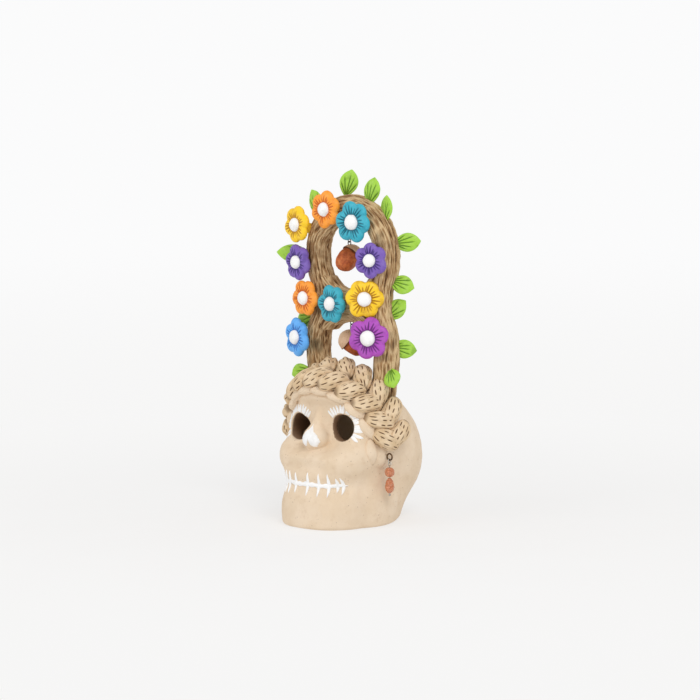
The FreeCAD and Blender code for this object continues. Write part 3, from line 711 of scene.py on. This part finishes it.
# Half sizes of one lump: long, wide and thick.
LUMP = (10.4, 5.7, 5.2)
HAIR = (8.6, 3.9, 3.0)
RIDGES, RIDGE_HIGH, SPIRAL = 6, 0.38, 0.4
DASH_LANES, DASH_HALF_WIDE, DASH_DEEP = (8, 36, 68, 96, 128, 158, 186), 0.34, 0.7
BRAID_UP = 50.0
FAR_SWEEP = 15.8
TURNS_AT = -40


def over_head(row, angle):
    """A point of one row of the crown, at an angle from the top of the head towards an ear."""
    reach, rise, front, sweep = row[:4]
    sweep = min(sweep, FAR_SWEEP) if angle < 0 else sweep
    a = math.radians(angle)
    return np.array([reach * math.sin(a), front + sweep * math.sin(a) ** 2,
                     BRAID_UP + rise * math.cos(a)])


def turned(v, axis, degrees):
    """A direction turned about an axis."""
    a = math.radians(degrees)
    return v * math.cos(a) + np.cross(axis, v) * math.sin(a) + axis * (axis @ v) * (1 - math.cos(a))


def lump(row, angle, slant, half, seed, incised):
    """A hand-rolled almond of clay with its ends tucked in; the tool marks are short dashes, with
    painted shade in them and at the tucked ends.
    """
    here = over_head(row, angle)
    along = unit(over_head(row, angle + 2) - over_head(row, angle - 2))
    outward = np.array([math.sin(math.radians(angle)), -0.35, math.cos(math.radians(angle))])
    outward = unit(outward - along * (outward @ along))
    along = turned(along, outward, slant)
    side = np.cross(outward, along)
    rng = np.random.default_rng(seed)
    long, wide, thick = half
    n, m = (66, 132) if incised else (40, 56)
    t = np.linspace(0.07, math.pi - 0.07, n)[:, None]
    v = circle(m)[None, :]
    u = -np.cos(t)
    girth = (1 - np.abs(u) ** (2.3 if incised else 2.0)) ** (0.52 if incised else 0.8)
    flow = joined(wide * np.cos(v), thick * np.sin(v), u * long / 7.0).reshape(-1, 3)
    relief = (0.30 * noise(flow, 2.1, seed) + 0.22 * noise(flow, 1.1, seed + 50)).reshape(n, m)
    if incised:
        relief = relief + RIDGE_HIGH * np.cos(RIDGES * (v + SPIRAL * u - math.pi / 12))
    shade_mask = np.zeros((n, m))
    # Incised dashes; their mask also paints shade in the cuts.
    if incised:
        for k, lane in enumerate(np.radians(DASH_LANES)):
            spot = -long * 0.72 + rng.uniform(0, 2.8) + (2.2 if k % 2 else 0.0)
            while spot < long * 0.76:
                half_length = rng.uniform(1.3, 2.2)
                at = lane + rng.uniform(-0.06, 0.06) - SPIRAL * u
                tilt = rng.uniform(-0.05, 0.05)
                gap_along = (u * long - spot) / half_length
                gap_across = (v - at - tilt * gap_along) * girth * (wide + thick) / 2
                gap_across = gap_across / DASH_HALF_WIDE
                mark = np.exp(-gap_across ** 2) * smooth(1.35 - np.abs(gap_along))
                shade_mask = np.maximum(shade_mask, mark)
                spot += 2 * half_length + rng.uniform(1.3, 2.4)
        relief = relief - DASH_DEEP * shade_mask
    # Painted shade at the ends, where each lump tucks under its neighbours.
    end_shade = (0.5 if incised else 0.4) * smooth((np.abs(u) - 0.7) / 0.3)
    shade_mask = np.maximum(shade_mask, end_shade + 0 * v)
    tuck = -1.3 * u ** 2 * (1.0 if incised else 0.5)
    curl = (0.9 if incised else 0.3) * np.sin(u * 2.4) * np.sign(slant)
    r_side = wide * girth + relief * girth
    r_out = thick * girth + relief * girth
    rings = (here + along * (u * long)[..., None] + side * (r_side * np.cos(v) + curl)[..., None]
             + outward * (r_out * np.sin(v) + tuck)[..., None])
    return loft(rings), np.append(shade_mask.ravel(), [0, 0])


for number, (node, row) in enumerate(ROWS.items()):
    incised = node.startswith("braid")
    angles, row_slant = row[4:]
    parts, shade_masks = [], []
    for i, angle in enumerate(angles):
        slant = row_slant if angle > TURNS_AT else -row_slant
        made, shade_mask = lump(row, angle, slant, LUMP if incised else HAIR, 100 * number + i, incised)
        parts.append(made)
        shade_masks.append(shade_mask)
    mesh = mesh_of(f"shaped_{node}", *merge(parts))
    paint_points(mesh, "shade_mask", np.concatenate(shade_masks))
    look = (BRAID_CLAY, "clay_braid") if incised else (SKULL_CLAY, "clay_skull")
    piece(f"shaped_{node}", mesh, *look, [node])


# ---- arch
coil_low, coil_high = box("arch_coil")
COIL_RADIUS = (coil_high[1] - coil_low[1]) / 2
ARCH_HALF = coil_high[0] - COIL_RADIUS
ROUND_UP = coil_high[2] - COIL_RADIUS - ARCH_HALF
WAIST_HALF, WAIST_UP, FOOT_UP, FOOT_BEND = 22.4, 134.0, 70.0, 120.0
FIBRE_STRETCH = 7.0
COMB_HIGH, SCRAPED, FOOT_DEEP = 0.72, 0.35, 3.5
ARC_STEPS = COIL_SIDES = 160


def arc(centre, radius, start, end):
    """An arc in the arch's upright plane."""
    angle = np.linspace(start, end, ARC_STEPS)
    return np.stack([centre[0] + radius * np.cos(angle), np.zeros(ARC_STEPS),
                     centre[1] + radius * np.sin(angle)], 1)


def arch_line():
    """The coil's centre line from one foot to the other, at even steps."""
    theta = 2 * math.atan((ARCH_HALF - WAIST_HALF) / (ROUND_UP - WAIST_UP))
    radius = (ROUND_UP - WAIST_UP) / (2 * math.sin(theta))
    knee = 2 * WAIST_UP - ROUND_UP
    foot = math.asin((knee - FOOT_UP) / FOOT_BEND)
    leg = np.vstack([
        arc((ARCH_HALF - FOOT_BEND, knee), FOOT_BEND, -foot, 0),
        arc((ARCH_HALF - radius, knee), radius, 0, theta),
        arc((WAIST_HALF + radius, WAIST_UP), radius, math.pi + theta, math.pi - theta),
        arc((ARCH_HALF - radius, ROUND_UP), radius, -theta, 0),
    ])
    top = arc((0, ROUND_UP), ARCH_HALF, 0, math.pi)
    line = np.vstack([leg, top, leg[::-1] * (-1, 1, 1)])
    line = line[np.r_[True, np.linalg.norm(np.diff(line, axis=0), axis=1) > 1e-6]]
    run = np.r_[0, np.cumsum(np.linalg.norm(np.diff(line, axis=0), axis=1))]
    even = np.linspace(0, run[-1], int(run[-1] / 0.8))
    return even, np.stack([np.interp(even, run, line[:, i]) for i in range(3)], 1)


def combed(flow, seed):
    """How high the combed surface stands, about -1 to 1, and 0 to 1 for the painted shade and
    highlight that follow it.
    """
    broad = noise(flow, 2.4, seed)
    strand = 1 - 2 * np.abs(noise(flow, 0.95, seed + 1))
    fibre = noise(flow, 0.5, seed + 2)
    relief = 0.40 * broad + 0.60 * strand + 0.50 * fibre
    return relief, np.clip(0.5 + 0.45 * relief, 0, 1)


def sink_into_skull(p, depth):
    """Moves points that are too deep in the skull's wall back up to that depth."""
    step = 0.5
    for _ in range(3):
        d = plain_skull(p.T)
        slope = np.stack([(plain_skull((p + step * axis).T) - d) / step for axis in np.eye(3)], 1)
        slope /= np.linalg.norm(slope, axis=1)[:, None] + 1e-9
        p = p + slope * np.maximum(-depth - d, 0)[:, None]
    return p


run, line = arch_line()
ahead = np.gradient(line, axis=0)
ahead /= np.linalg.norm(ahead, axis=1)[:, None]
inward = np.cross(ahead, FRONT)
v = circle(COIL_SIDES)
twist = 0.35 * np.sin(run / 31.0)[:, None] + 0.12 * np.sin(run / 9.0 + 1.0)[:, None]
flow = joined(COIL_RADIUS * np.cos(v + twist), COIL_RADIUS * np.sin(v + twist),
              run[:, None] / FIBRE_STRETCH)
relief, relief_shading = combed(flow.reshape(-1, 3), 11)
relief, relief_shading = relief.reshape(flow.shape[:2]), relief_shading.reshape(flow.shape[:2])
swell = 0.25 * noise(np.stack([run / 17.0, run * 0, run * 0], 1), 1.0, 5)[:, None]
radius = COIL_RADIUS - SCRAPED + COMB_HIGH * relief + swell
rings = (line[:, None] + inward[:, None] * (radius * np.cos(v))[..., None]
         + FRONT * (radius * np.sin(v))[..., None])
rings = sink_into_skull(rings.reshape(-1, 3), FOOT_DEEP).reshape(rings.shape)
points, faces = loft(rings)
mesh = mesh_of("shaped_arch_coil", points, faces)
paint_points(mesh, "relief_shading", np.append(relief_shading.ravel(), [0.3, 0.3]))
paint_vectors(mesh, "comb", np.vstack([flow.reshape(-1, 3), flow[0, 0], flow[-1, 0]]) * MM)
piece("shaped_arch_coil", mesh, BARK, "bark_clay", ["arch_coil"])

HOLE_RADIUS, HOLE_UPPER, HOLE_LOWER = 19.5, 160.5, 101.5
HOLE_MIDDLE, HOLE_OFFSET = (HOLE_UPPER + HOLE_LOWER) / 2, (HOLE_UPPER - HOLE_LOWER) / 2
CROSS_HALF = 21.0
cross_low, cross_high = box("arch_cross_piece")


def cross_field(p):
    """The block between the hoops, hollowed by each of them and spread on to the coil."""
    x, y, z = p
    middle = (cross_low[2] + cross_high[2]) / 2
    hole = np.sqrt(x ** 2 + (np.abs(z - HOLE_MIDDLE) - HOLE_OFFSET) ** 2)
    thick = (cross_high[1] - cross_low[1]) / 2 * (0.92 + 0.16 * smooth(np.abs(x) / 20.0))
    d = smax(HOLE_RADIUS - hole, np.abs(y) - thick, 7.0)
    d = smax(d, np.abs(x) - CROSS_HALF, 1.0)
    return smax(d, np.abs(z - middle) - (cross_high[2] - cross_low[2]) / 2 - 0.5, 1.0)


points, faces = surface(cross_field, cross_low - 1, cross_high + 1, 0.45)
tall = np.abs(points[:, 2] - HOLE_MIDDLE) - HOLE_OFFSET
round_hole = np.hypot(points[:, 0], tall)
turn = np.arctan2(points[:, 0], -tall)
flow = np.stack([round_hole, points[:, 1], turn * HOLE_RADIUS / FIBRE_STRETCH], 1)
relief, relief_shading = combed(flow, 31)
points = points + normals_of(points, faces) * (0.55 * relief - 0.1)[:, None]
mesh = mesh_of("shaped_arch_cross_piece", points, faces)
paint_points(mesh, "relief_shading", relief_shading)
paint_vectors(mesh, "comb", flow * MM)
piece("shaped_arch_cross_piece", mesh, BARK, "bark_clay", ["arch_cross_piece"])


# ---- flowers
# Shares of a flower's width: the dome's radius, and each petal's place and half sizes.
DOME_SHARE = 0.185
PETAL_OUT, PETAL_LONG, PETAL_WIDE = 0.262, 0.235, 0.226
PETAL_LIFT, PETAL_THICK = 1.84, 2.75
SCORE_START, SCORE_HALF_WIDE = 0.15, 0.5
PEG_RADIUS = 3.4


def flower(name, seed):
    """Six puffy petals pressed into a rosette and scored outward, with a white dome."""
    rng = np.random.default_rng(seed)
    centre, _, _, normal = node_axes(f"{name}_centre")
    normal = normal * np.sign(normal @ FRONT)
    right = unit(np.cross(UP, normal))
    up = np.cross(normal, right)
    turn = np.array([right, up, normal])
    dome_points = (node_mesh(f"{name}_centre")[0] - centre) @ turn.T
    size = np.abs(dome_points[:, :2]).max() / DOME_SHARE
    origin = centre - normal * PETAL_LIFT
    back = (node_mesh(f"{name}_petals")[0] - origin) @ turn.T
    behind = back[back[:, 2] < back[:, 2].min() + 2.5]
    peg_end = (behind.min(0) + behind.max(0)) / 2

    petals = []
    spin = rng.uniform(0, 60)
    for i in range(6):
        petals.append((math.radians(spin + 60 * i + rng.uniform(-5, 5)), rng.uniform(0.96, 1.05),
                       rng.uniform(0.95, 1.06), rng.uniform(-0.25, 0.25)))
    scores = []
    for angle, reach, _, _ in petals:
        for offset in np.radians((-21.0, -7.0, 7.0, 21.0)):
            a = angle + offset + rng.uniform(-0.04, 0.04)
            shorter = 0.88 if abs(offset) > 0.3 else 1.0
            end = size * reach * rng.uniform(0.39, 0.46) * shorter
            scores.append((a, a + rng.uniform(-0.06, 0.06), end))

    def score_field(p):
        """Distance to the score marks on the petals' faces."""
        d = np.inf
        for start, bend, end in scores:
            r = size * SCORE_START
            line = capsule(p, (r * math.cos(start), r * math.sin(start), 2.35),
                           (end * math.cos(bend), end * math.sin(bend), 2.7),
                           SCORE_HALF_WIDE, SCORE_HALF_WIDE * 0.3)
            d = np.minimum(d, line)
        return d

    def field(p):
        """Distance to the petals and the peg behind them."""
        x, y, z = p
        d = capsule(p, (0, 0, -0.6), tuple(peg_end), PEG_RADIUS * 0.95, PEG_RADIUS * 0.95)
        rosette = None
        for angle, reach, plump, lift in petals:
            c, s = math.cos(angle), math.sin(angle)
            along, across = c * x + s * y, c * y - s * x
            spot = size * PETAL_OUT
            one = ellipsoid((along, across, z - lift - 0.05 * (along - spot)), (spot, 0, 0),
                            (size * PETAL_LONG * reach, size * PETAL_WIDE * plump, PETAL_THICK))
            rosette = one if rosette is None else smin(rosette, one, 0.6)
        disc = ellipsoid(p, (0, 0, -0.2), (size * 0.27, size * 0.27, 1.9))
        d = smin(d, smin(rosette, disc, 0.8), 1.5)
        return smax(d, -score_field(p), 0.4)

    reach = size * 0.53
    low = np.minimum((-reach, -reach, -3.6), peg_end - PEG_RADIUS)
    high = np.maximum((reach, reach, 3.6), peg_end + PEG_RADIUS)
    points, faces = surface(field, low, high, 0.3)
    # Painted shade in the score marks and around the foot of the dome.
    shade_mask = smooth(1 - (score_field(points.T) + 0.05) / 0.4) * smooth((points[:, 2] - 0.6) / 1.0)
    shade = smooth(1 - (np.hypot(points[:, 0], points[:, 1]) / size - DOME_SHARE) / 0.05)
    shade_mask = np.maximum(shade_mask, 0.9 * shade * smooth((points[:, 2] - 0.2) / 0.8))
    uneven = 0.10 * noise(points, 1.8, seed) + 0.05 * noise(points, 0.8, seed + 9)
    points = points + normals_of(points, faces) * uneven[:, None]
    mesh = mesh_of(f"shaped_{name}_petals", origin + points @ turn, faces)
    paint_points(mesh, "shade_mask", shade_mask)
    hue = name.split("_")[0]
    piece(f"shaped_{name}_petals", mesh, PETALS[hue], f"{hue}_paint", [f"{name}_petals"])

    semi = np.array([size * DOME_SHARE, size * DOME_SHARE, np.abs(dome_points[:, 2]).max()])
    t = np.linspace(0.05, math.pi - 0.05, 34)[:, None]
    v = circle(48)[None, :]
    girth = np.sin(t) ** 0.86
    rings = joined(girth * np.cos(v), girth * np.sin(v), np.cos(t)) * semi
    flat = rings.reshape(-1, 3)
    lumpy = 1 + 0.035 * noise(flat, 2.4, seed + 3) + 0.014 * noise(flat, 0.9, seed + 4)
    rings = (flat * lumpy[:, None]).reshape(rings.shape)
    points, faces = loft(rings)
    mesh = mesh_of(f"shaped_{name}_centre", centre + points @ turn, faces)
    # Painted shade on the dome, darker towards its foot among the petals.
    paint_points(mesh, "shade_mask", smooth((0.2 - points[:, 2]) / 1.5))
    piece(f"shaped_{name}_centre", mesh, WHITE, "white_paint", [f"{name}_centre"])


flower_names = sorted(n[:-len("_petals")] for n in NODES if n.endswith("_petals"))
for number, name in enumerate(flower_names):
    flower(name, 200 + number)


# ---- leaves
VEIN_HALF_WIDE, VEIN_DEEP, VEIN_RAISED = 0.36, 0.62, 0.3
arch_points = node_mesh("arch_coil")[0]


def leaf(node, seed):
    """A pointed clay leaf, thicker along its middle, with veins pressed in from the base."""
    rng = np.random.default_rng(seed)
    centre, along, across, normal = node_axes(node)
    points = node_mesh(node)[0] - centre
    half = np.abs(points @ along).max()
    wide, thick = np.abs(points @ across).max(), np.abs(points @ normal).max()
    gap = [np.linalg.norm(arch_points - (centre + s * along * half), axis=1).min()
           for s in (1, -1)]
    if gap[0] < gap[1]:
        along = -along
    if normal @ FRONT < 0:
        normal = -normal
    across = np.cross(normal, along)
    n, m = 84, 120
    t = (0.5 - 0.5 * np.cos(np.linspace(0.05, math.pi - 0.05, n)))[:, None]
    v = circle(m)[None, :]
    outline = np.sin(math.pi * t ** 1.08) ** 0.7 * (1 - 0.2 * smooth((t - 0.85) / 0.15))
    body = np.sin(math.pi * np.clip(t, 0.02, 0.98)) ** 0.5
    x = (2 * t - 1) * half + 0 * v
    y = wide * outline * np.cos(v)
    z = thick * body * np.where(np.sin(v) > 0, 1.0, 0.85) * np.sin(v)
    shade_mask = np.zeros((n, m))
    for vein in range(5):
        angle = math.radians((vein - 2) * 15.0 + rng.uniform(-3, 3))
        reach = half * rng.uniform(1.5, 1.85) * (1.0 if vein in (1, 2, 3) else 0.78)
        dx = x + half * 0.97
        forward = dx * math.cos(angle) + y * math.sin(angle)
        curve = -0.1 * (vein - 2) * (forward / half) ** 2
        aside = y * math.cos(angle) - dx * math.sin(angle) - curve
        mark = np.exp(-(aside / VEIN_HALF_WIDE) ** 2) * smooth(forward / 1.5)
        mark = mark * smooth((reach - forward) / (half * 0.5))
        shade_mask = np.maximum(shade_mask, mark)
    top = smooth(np.sin(v) / 0.35)
    under = 0.4 * smooth(-np.sin(v) / 0.35)
    # Painted shade in the pressed veins.
    vein_shade = shade_mask * (top + under)
    z = z - VEIN_DEEP * shade_mask * top + VEIN_RAISED * shade_mask * under
    flat = np.stack([x, y, z * 2], -1).reshape(-1, 3)
    z = z + (0.10 * noise(flat, 2.6, seed)).reshape(n, m)
    z = z + 0.9 * ((2 * t - 1) ** 2 - 0.4) * rng.uniform(-1.0, 0.4) - 0.25 * (y / wide) ** 2
    rings = centre + x[..., None] * along + y[..., None] * across + z[..., None] * normal
    mesh = mesh_of(f"shaped_{node}", *loft(rings))
    # Painted shade at the base of the leaf, where it meets the arch.
    edge = 0.25 * smooth((0.12 - t) / 0.12) + 0 * v
    paint_points(mesh, "shade_mask", np.append(np.maximum(vein_shade, edge).ravel(), [0.6, 0.1]))
    piece(f"shaped_{node}", mesh, GREEN, "green_paint", [node])


for number, node in enumerate(sorted(n for n in NODES if n.startswith("leaf_"))):
    leaf(node, 400 + number)


# ---- acorns
def turned_piece(node, centre, axis, profile, bumps, material, slot, seed):
    """A form turned about an axis from (radius, height) places, uneven as if made by hand."""
    side = unit(np.cross(axis, (0.3, 0.9, 0.2)))
    other = np.cross(axis, side)
    profile = np.asarray(profile, float)
    v = circle(72)[None, :]
    r, h = profile[:, :1], profile[:, 1:] + 0 * v
    flat = joined(r * np.cos(v), r * np.sin(v), h).reshape(-1, 3)
    streaks = noise(flat * (1, 1, 0.2), 1.2, seed)
    uneven = (bumps * (noise(flat, 2.6, seed + 1) + 0.5 * streaks)).reshape(h.shape)
    r = r + uneven * smooth(r / 1.5)
    rings = (centre + side * (r * np.cos(v))[..., None] + other * (r * np.sin(v))[..., None]
             + axis * h[..., None])
    mesh = mesh_of(f"shaped_{node}", *loft(rings))
    paint_vectors(mesh, "comb", np.vstack([flat * (1, 1, 0.2), np.zeros((2, 3))]) * MM)
    piece(f"shaped_{node}", mesh, material, slot, [node])
    return mesh


def rounded(spots, count):
    """A smooth line through a few (radius, height) places."""
    spots = np.asarray(spots, float)
    knots = np.arange(len(spots))
    fine = np.linspace(0, len(spots) - 1, count)
    out = np.stack([np.interp(fine, knots, spots[:, i]) for i in (0, 1)], 1)
    for _ in range(3):
        out[1:-1] = (out[:-2] + 2 * out[1:-1] + out[2:]) / 4
    return out


for number, name in enumerate(("upper", "lower")):
    nut, cap = f"{name}_acorn_nut", f"{name}_acorn_cap"
    centre, axis, _, _ = node_axes(nut)
    cap_centre = node_axes(cap)[0]
    if axis @ (centre - cap_centre) < 0:
        axis = -axis
    points = node_mesh(nut)[0] - centre
    reach = np.abs(points @ axis).max()
    wide = np.linalg.norm(np.cross(points, axis), axis=1).max()
    t = np.linspace(0.04, 0.93, 46)
    u = -np.cos(t * math.pi)
    body = np.stack([wide * (1 - np.abs(u) ** 2.35) ** 0.5, u * reach * 0.97], 1)
    tip = np.array([(1.15, 0.955), (0.8, 0.985), (0.55, 1.01), (0.25, 1.02)]) * (1, reach)
    turned_piece(nut, centre, axis, np.vstack([body, tip]), 0.42, NUT, "nut_paint", 60 + number)
    points = node_mesh(cap)[0] - centre
    rim, crown = (points @ axis).max(), (points @ axis).min()
    radius = np.linalg.norm(np.cross(points, axis), axis=1).max()
    tall = rim - crown
    outer = [(0.35, crown), (1.6, crown + 0.03 * tall), (3.3, crown + 0.14 * tall),
             (5.0, crown + 0.32 * tall), (6.2, crown + 0.58 * tall), (radius, crown + 0.86 * tall),
             (radius + 0.1, rim - 0.3), (radius - 0.25, rim)]
    inner = [(radius - 1.0, rim - 0.1), (radius - 1.6, rim - 1.4), (4.2, crown + 0.42 * tall),
             (2.0, crown + 0.26 * tall), (0.4, crown + 0.2 * tall)]
    mesh = turned_piece(cap, centre, axis, rounded(outer + inner, 74), 0.16, CAP_CLAY, "clay_cap",
                        80 + number)
    found = np.array([v.co for v in mesh.vertices]) / MM
    level = (found - centre) @ axis
    # Painted shade along the cap's rim.
    paint_points(mesh, "shade_mask", smooth((level - rim + 0.9) / 0.8))


# ---- beads
BORE = 0.37


def bead(node, sides, bands):
    """A cut bead: flat facets on a round or drop-shaped body, with its hole."""
    low, high = box(node)
    centre, half = (low + high) / 2, (high - low) / 2
    drop = half[2] > half[0] * 1.3
    rings = []
    for i in range(bands + 1):
        t = math.pi * i / bands
        u = math.cos(t)
        r = max(half[0] * math.sin(t) ** (0.9 if drop else 0.8), BORE + 0.35)
        if drop:
            r = min(max(r * (1.0 - 0.16 * u), BORE + 0.35), half[0] * 1.01)
        v = circle(sides) + math.pi / sides * (i % 2)
        rings.append(joined(r * np.cos(v), r * np.sin(v), half[2] * u * 0.97))
    for u in (-1, 1):
        v = circle(sides) + math.pi / sides * ((bands if u < 0 else 0) % 2)
        rings.append(joined(BORE * np.cos(v), BORE * np.sin(v), half[2] * u * 0.95))
    points, faces = loft(np.array(rings), around=True)
    mesh = mesh_of(f"shaped_{node}", points + centre, faces, flat=True)
    piece(f"shaped_{node}", mesh, GLASS, "bead_glass", [node])


for side in ("left", "right"):
    bead(f"{side}_round_bead", 9, 6)
    bead(f"{side}_drop_bead", 8, 7)

# ---- carried CAD nodes
slots = {entry["node"]: entry["material_slot"] for entry in frame["record"]["subparts"]}
for node, thing in NODES.items():
    if thing.hide_render:
        continue
    material = METALS.get(slots[node], SKULL_CLAY)
    for used in thing.material_slots:
        used.material = material

# ---- floor, light and camera
AZIMUTH, ELEVATION, DISTANCE = 43.0, 6.0, 1.8
SENSOR, VIEW_WIDE = 36.0, 0.427
FLOOR_SIDES, FLOOR_RINGS = 96, (50, 200, 500, 1000, 3000, 12000)
a, e = math.radians(AZIMUTH), math.radians(ELEVATION)
towards = Vector((math.sin(a) * math.cos(e), -math.cos(a) * math.cos(e), math.sin(e)))
screen_right = Vector((math.cos(a), math.sin(a), 0))
low, high = (Vector(corner) for corner in cad_box)
target = Vector((-0.0085, 0.0069, (high.z - low.z) * 0.4825))
WHITE_ROOM = (0.965, 0.965, 0.968, 1.0)


def look_at(thing, place, aim):
    """Puts a lamp or the camera at a place, turned to its aim."""
    thing.location = place
    thing.rotation_euler = (place - aim).to_track_quat("Z", "Y").to_euler()


def floor():
    """A wide pale floor that turns into the white of the room far from the object."""
    angle = circle(FLOOR_SIDES)
    rings = np.array([joined(r * np.cos(angle), r * np.sin(angle), 0.0) for r in FLOOR_RINGS])
    points, faces = loft(rings, ends=False)
    faces.append(tuple(range(FLOOR_SIDES)))
    mesh = mesh_of("floor", points, faces, flat=True)
    thing = added("floor", mesh)
    m = Material("floor_paper", roughness=0.9, specular=0.1)
    patches = m.fit(m.noise(60.0), 0.3, 0.7)
    m.finish(m.mix(patches, (0.915, 0.905, 0.895, 1), (0.925, 0.917, 0.91, 1)))
    distance = m.node("VectorMath", {0: m.place}, operation="LENGTH").outputs["Value"]
    white = m.mix(m.fit(distance, 0.3, 2.5), (0.925, 0.922, 0.918, 1.0), WHITE_ROOM)
    glow = m.node("Emission", {"Color": white})
    both = m.node("MixShader", {0: m.fit(distance, 0.03, 0.5, 0.6, 1.0),
                                1: m.shader.outputs[0], 2: glow.outputs[0]})
    m.join(both.outputs[0], m.tree.nodes["Material Output"].inputs["Surface"])
    mesh.materials.append(m.material)


floor()
world = bpy.data.worlds.new("room")
bpy.context.scene.world = world
world.use_nodes = True
tree = world.node_tree
back = tree.nodes["Background"]
back.inputs["Color"].default_value = WHITE_ROOM
seen = tree.nodes.new("ShaderNodeLightPath")
strength = tree.nodes.new("ShaderNodeMapRange")
strength.inputs["To Min"].default_value = 0.72
strength.inputs["To Max"].default_value = 1.0
tree.links.new(seen.outputs["Is Camera Ray"], strength.inputs["Value"])
tree.links.new(strength.outputs[0], back.inputs["Strength"])


def lamp(name, place, width, power, colour):
    """A round soft lamp turned to the object."""
    light = bpy.data.lights.new(name, "AREA")
    light.shape = "DISK"
    light.size = width
    light.energy = power
    light.color = colour
    look_at(added(name, light), place, target)


key_place = target + towards * 1.2 + screen_right * 0.35 + Vector((0, 0, 1.1))
fill_place = target + towards * 1.0 - screen_right * 1.5 + Vector((0, 0, 0.6))
lamp("key", key_place, 0.8, 9.0, (1.0, 0.985, 0.965))
lamp("fill", fill_place, 1.2, 5.5, (1.0, 0.99, 0.98))

camera = bpy.data.cameras.new("camera")
camera.sensor_width = SENSOR
camera.lens = SENSOR * DISTANCE / VIEW_WIDE
camera.clip_end = 60.0
eye = added("camera", camera)
look_at(eye, target + towards * DISTANCE, target)
bpy.context.scene.camera = eye
bpy.context.scene.view_settings.view_transform = "Standard"
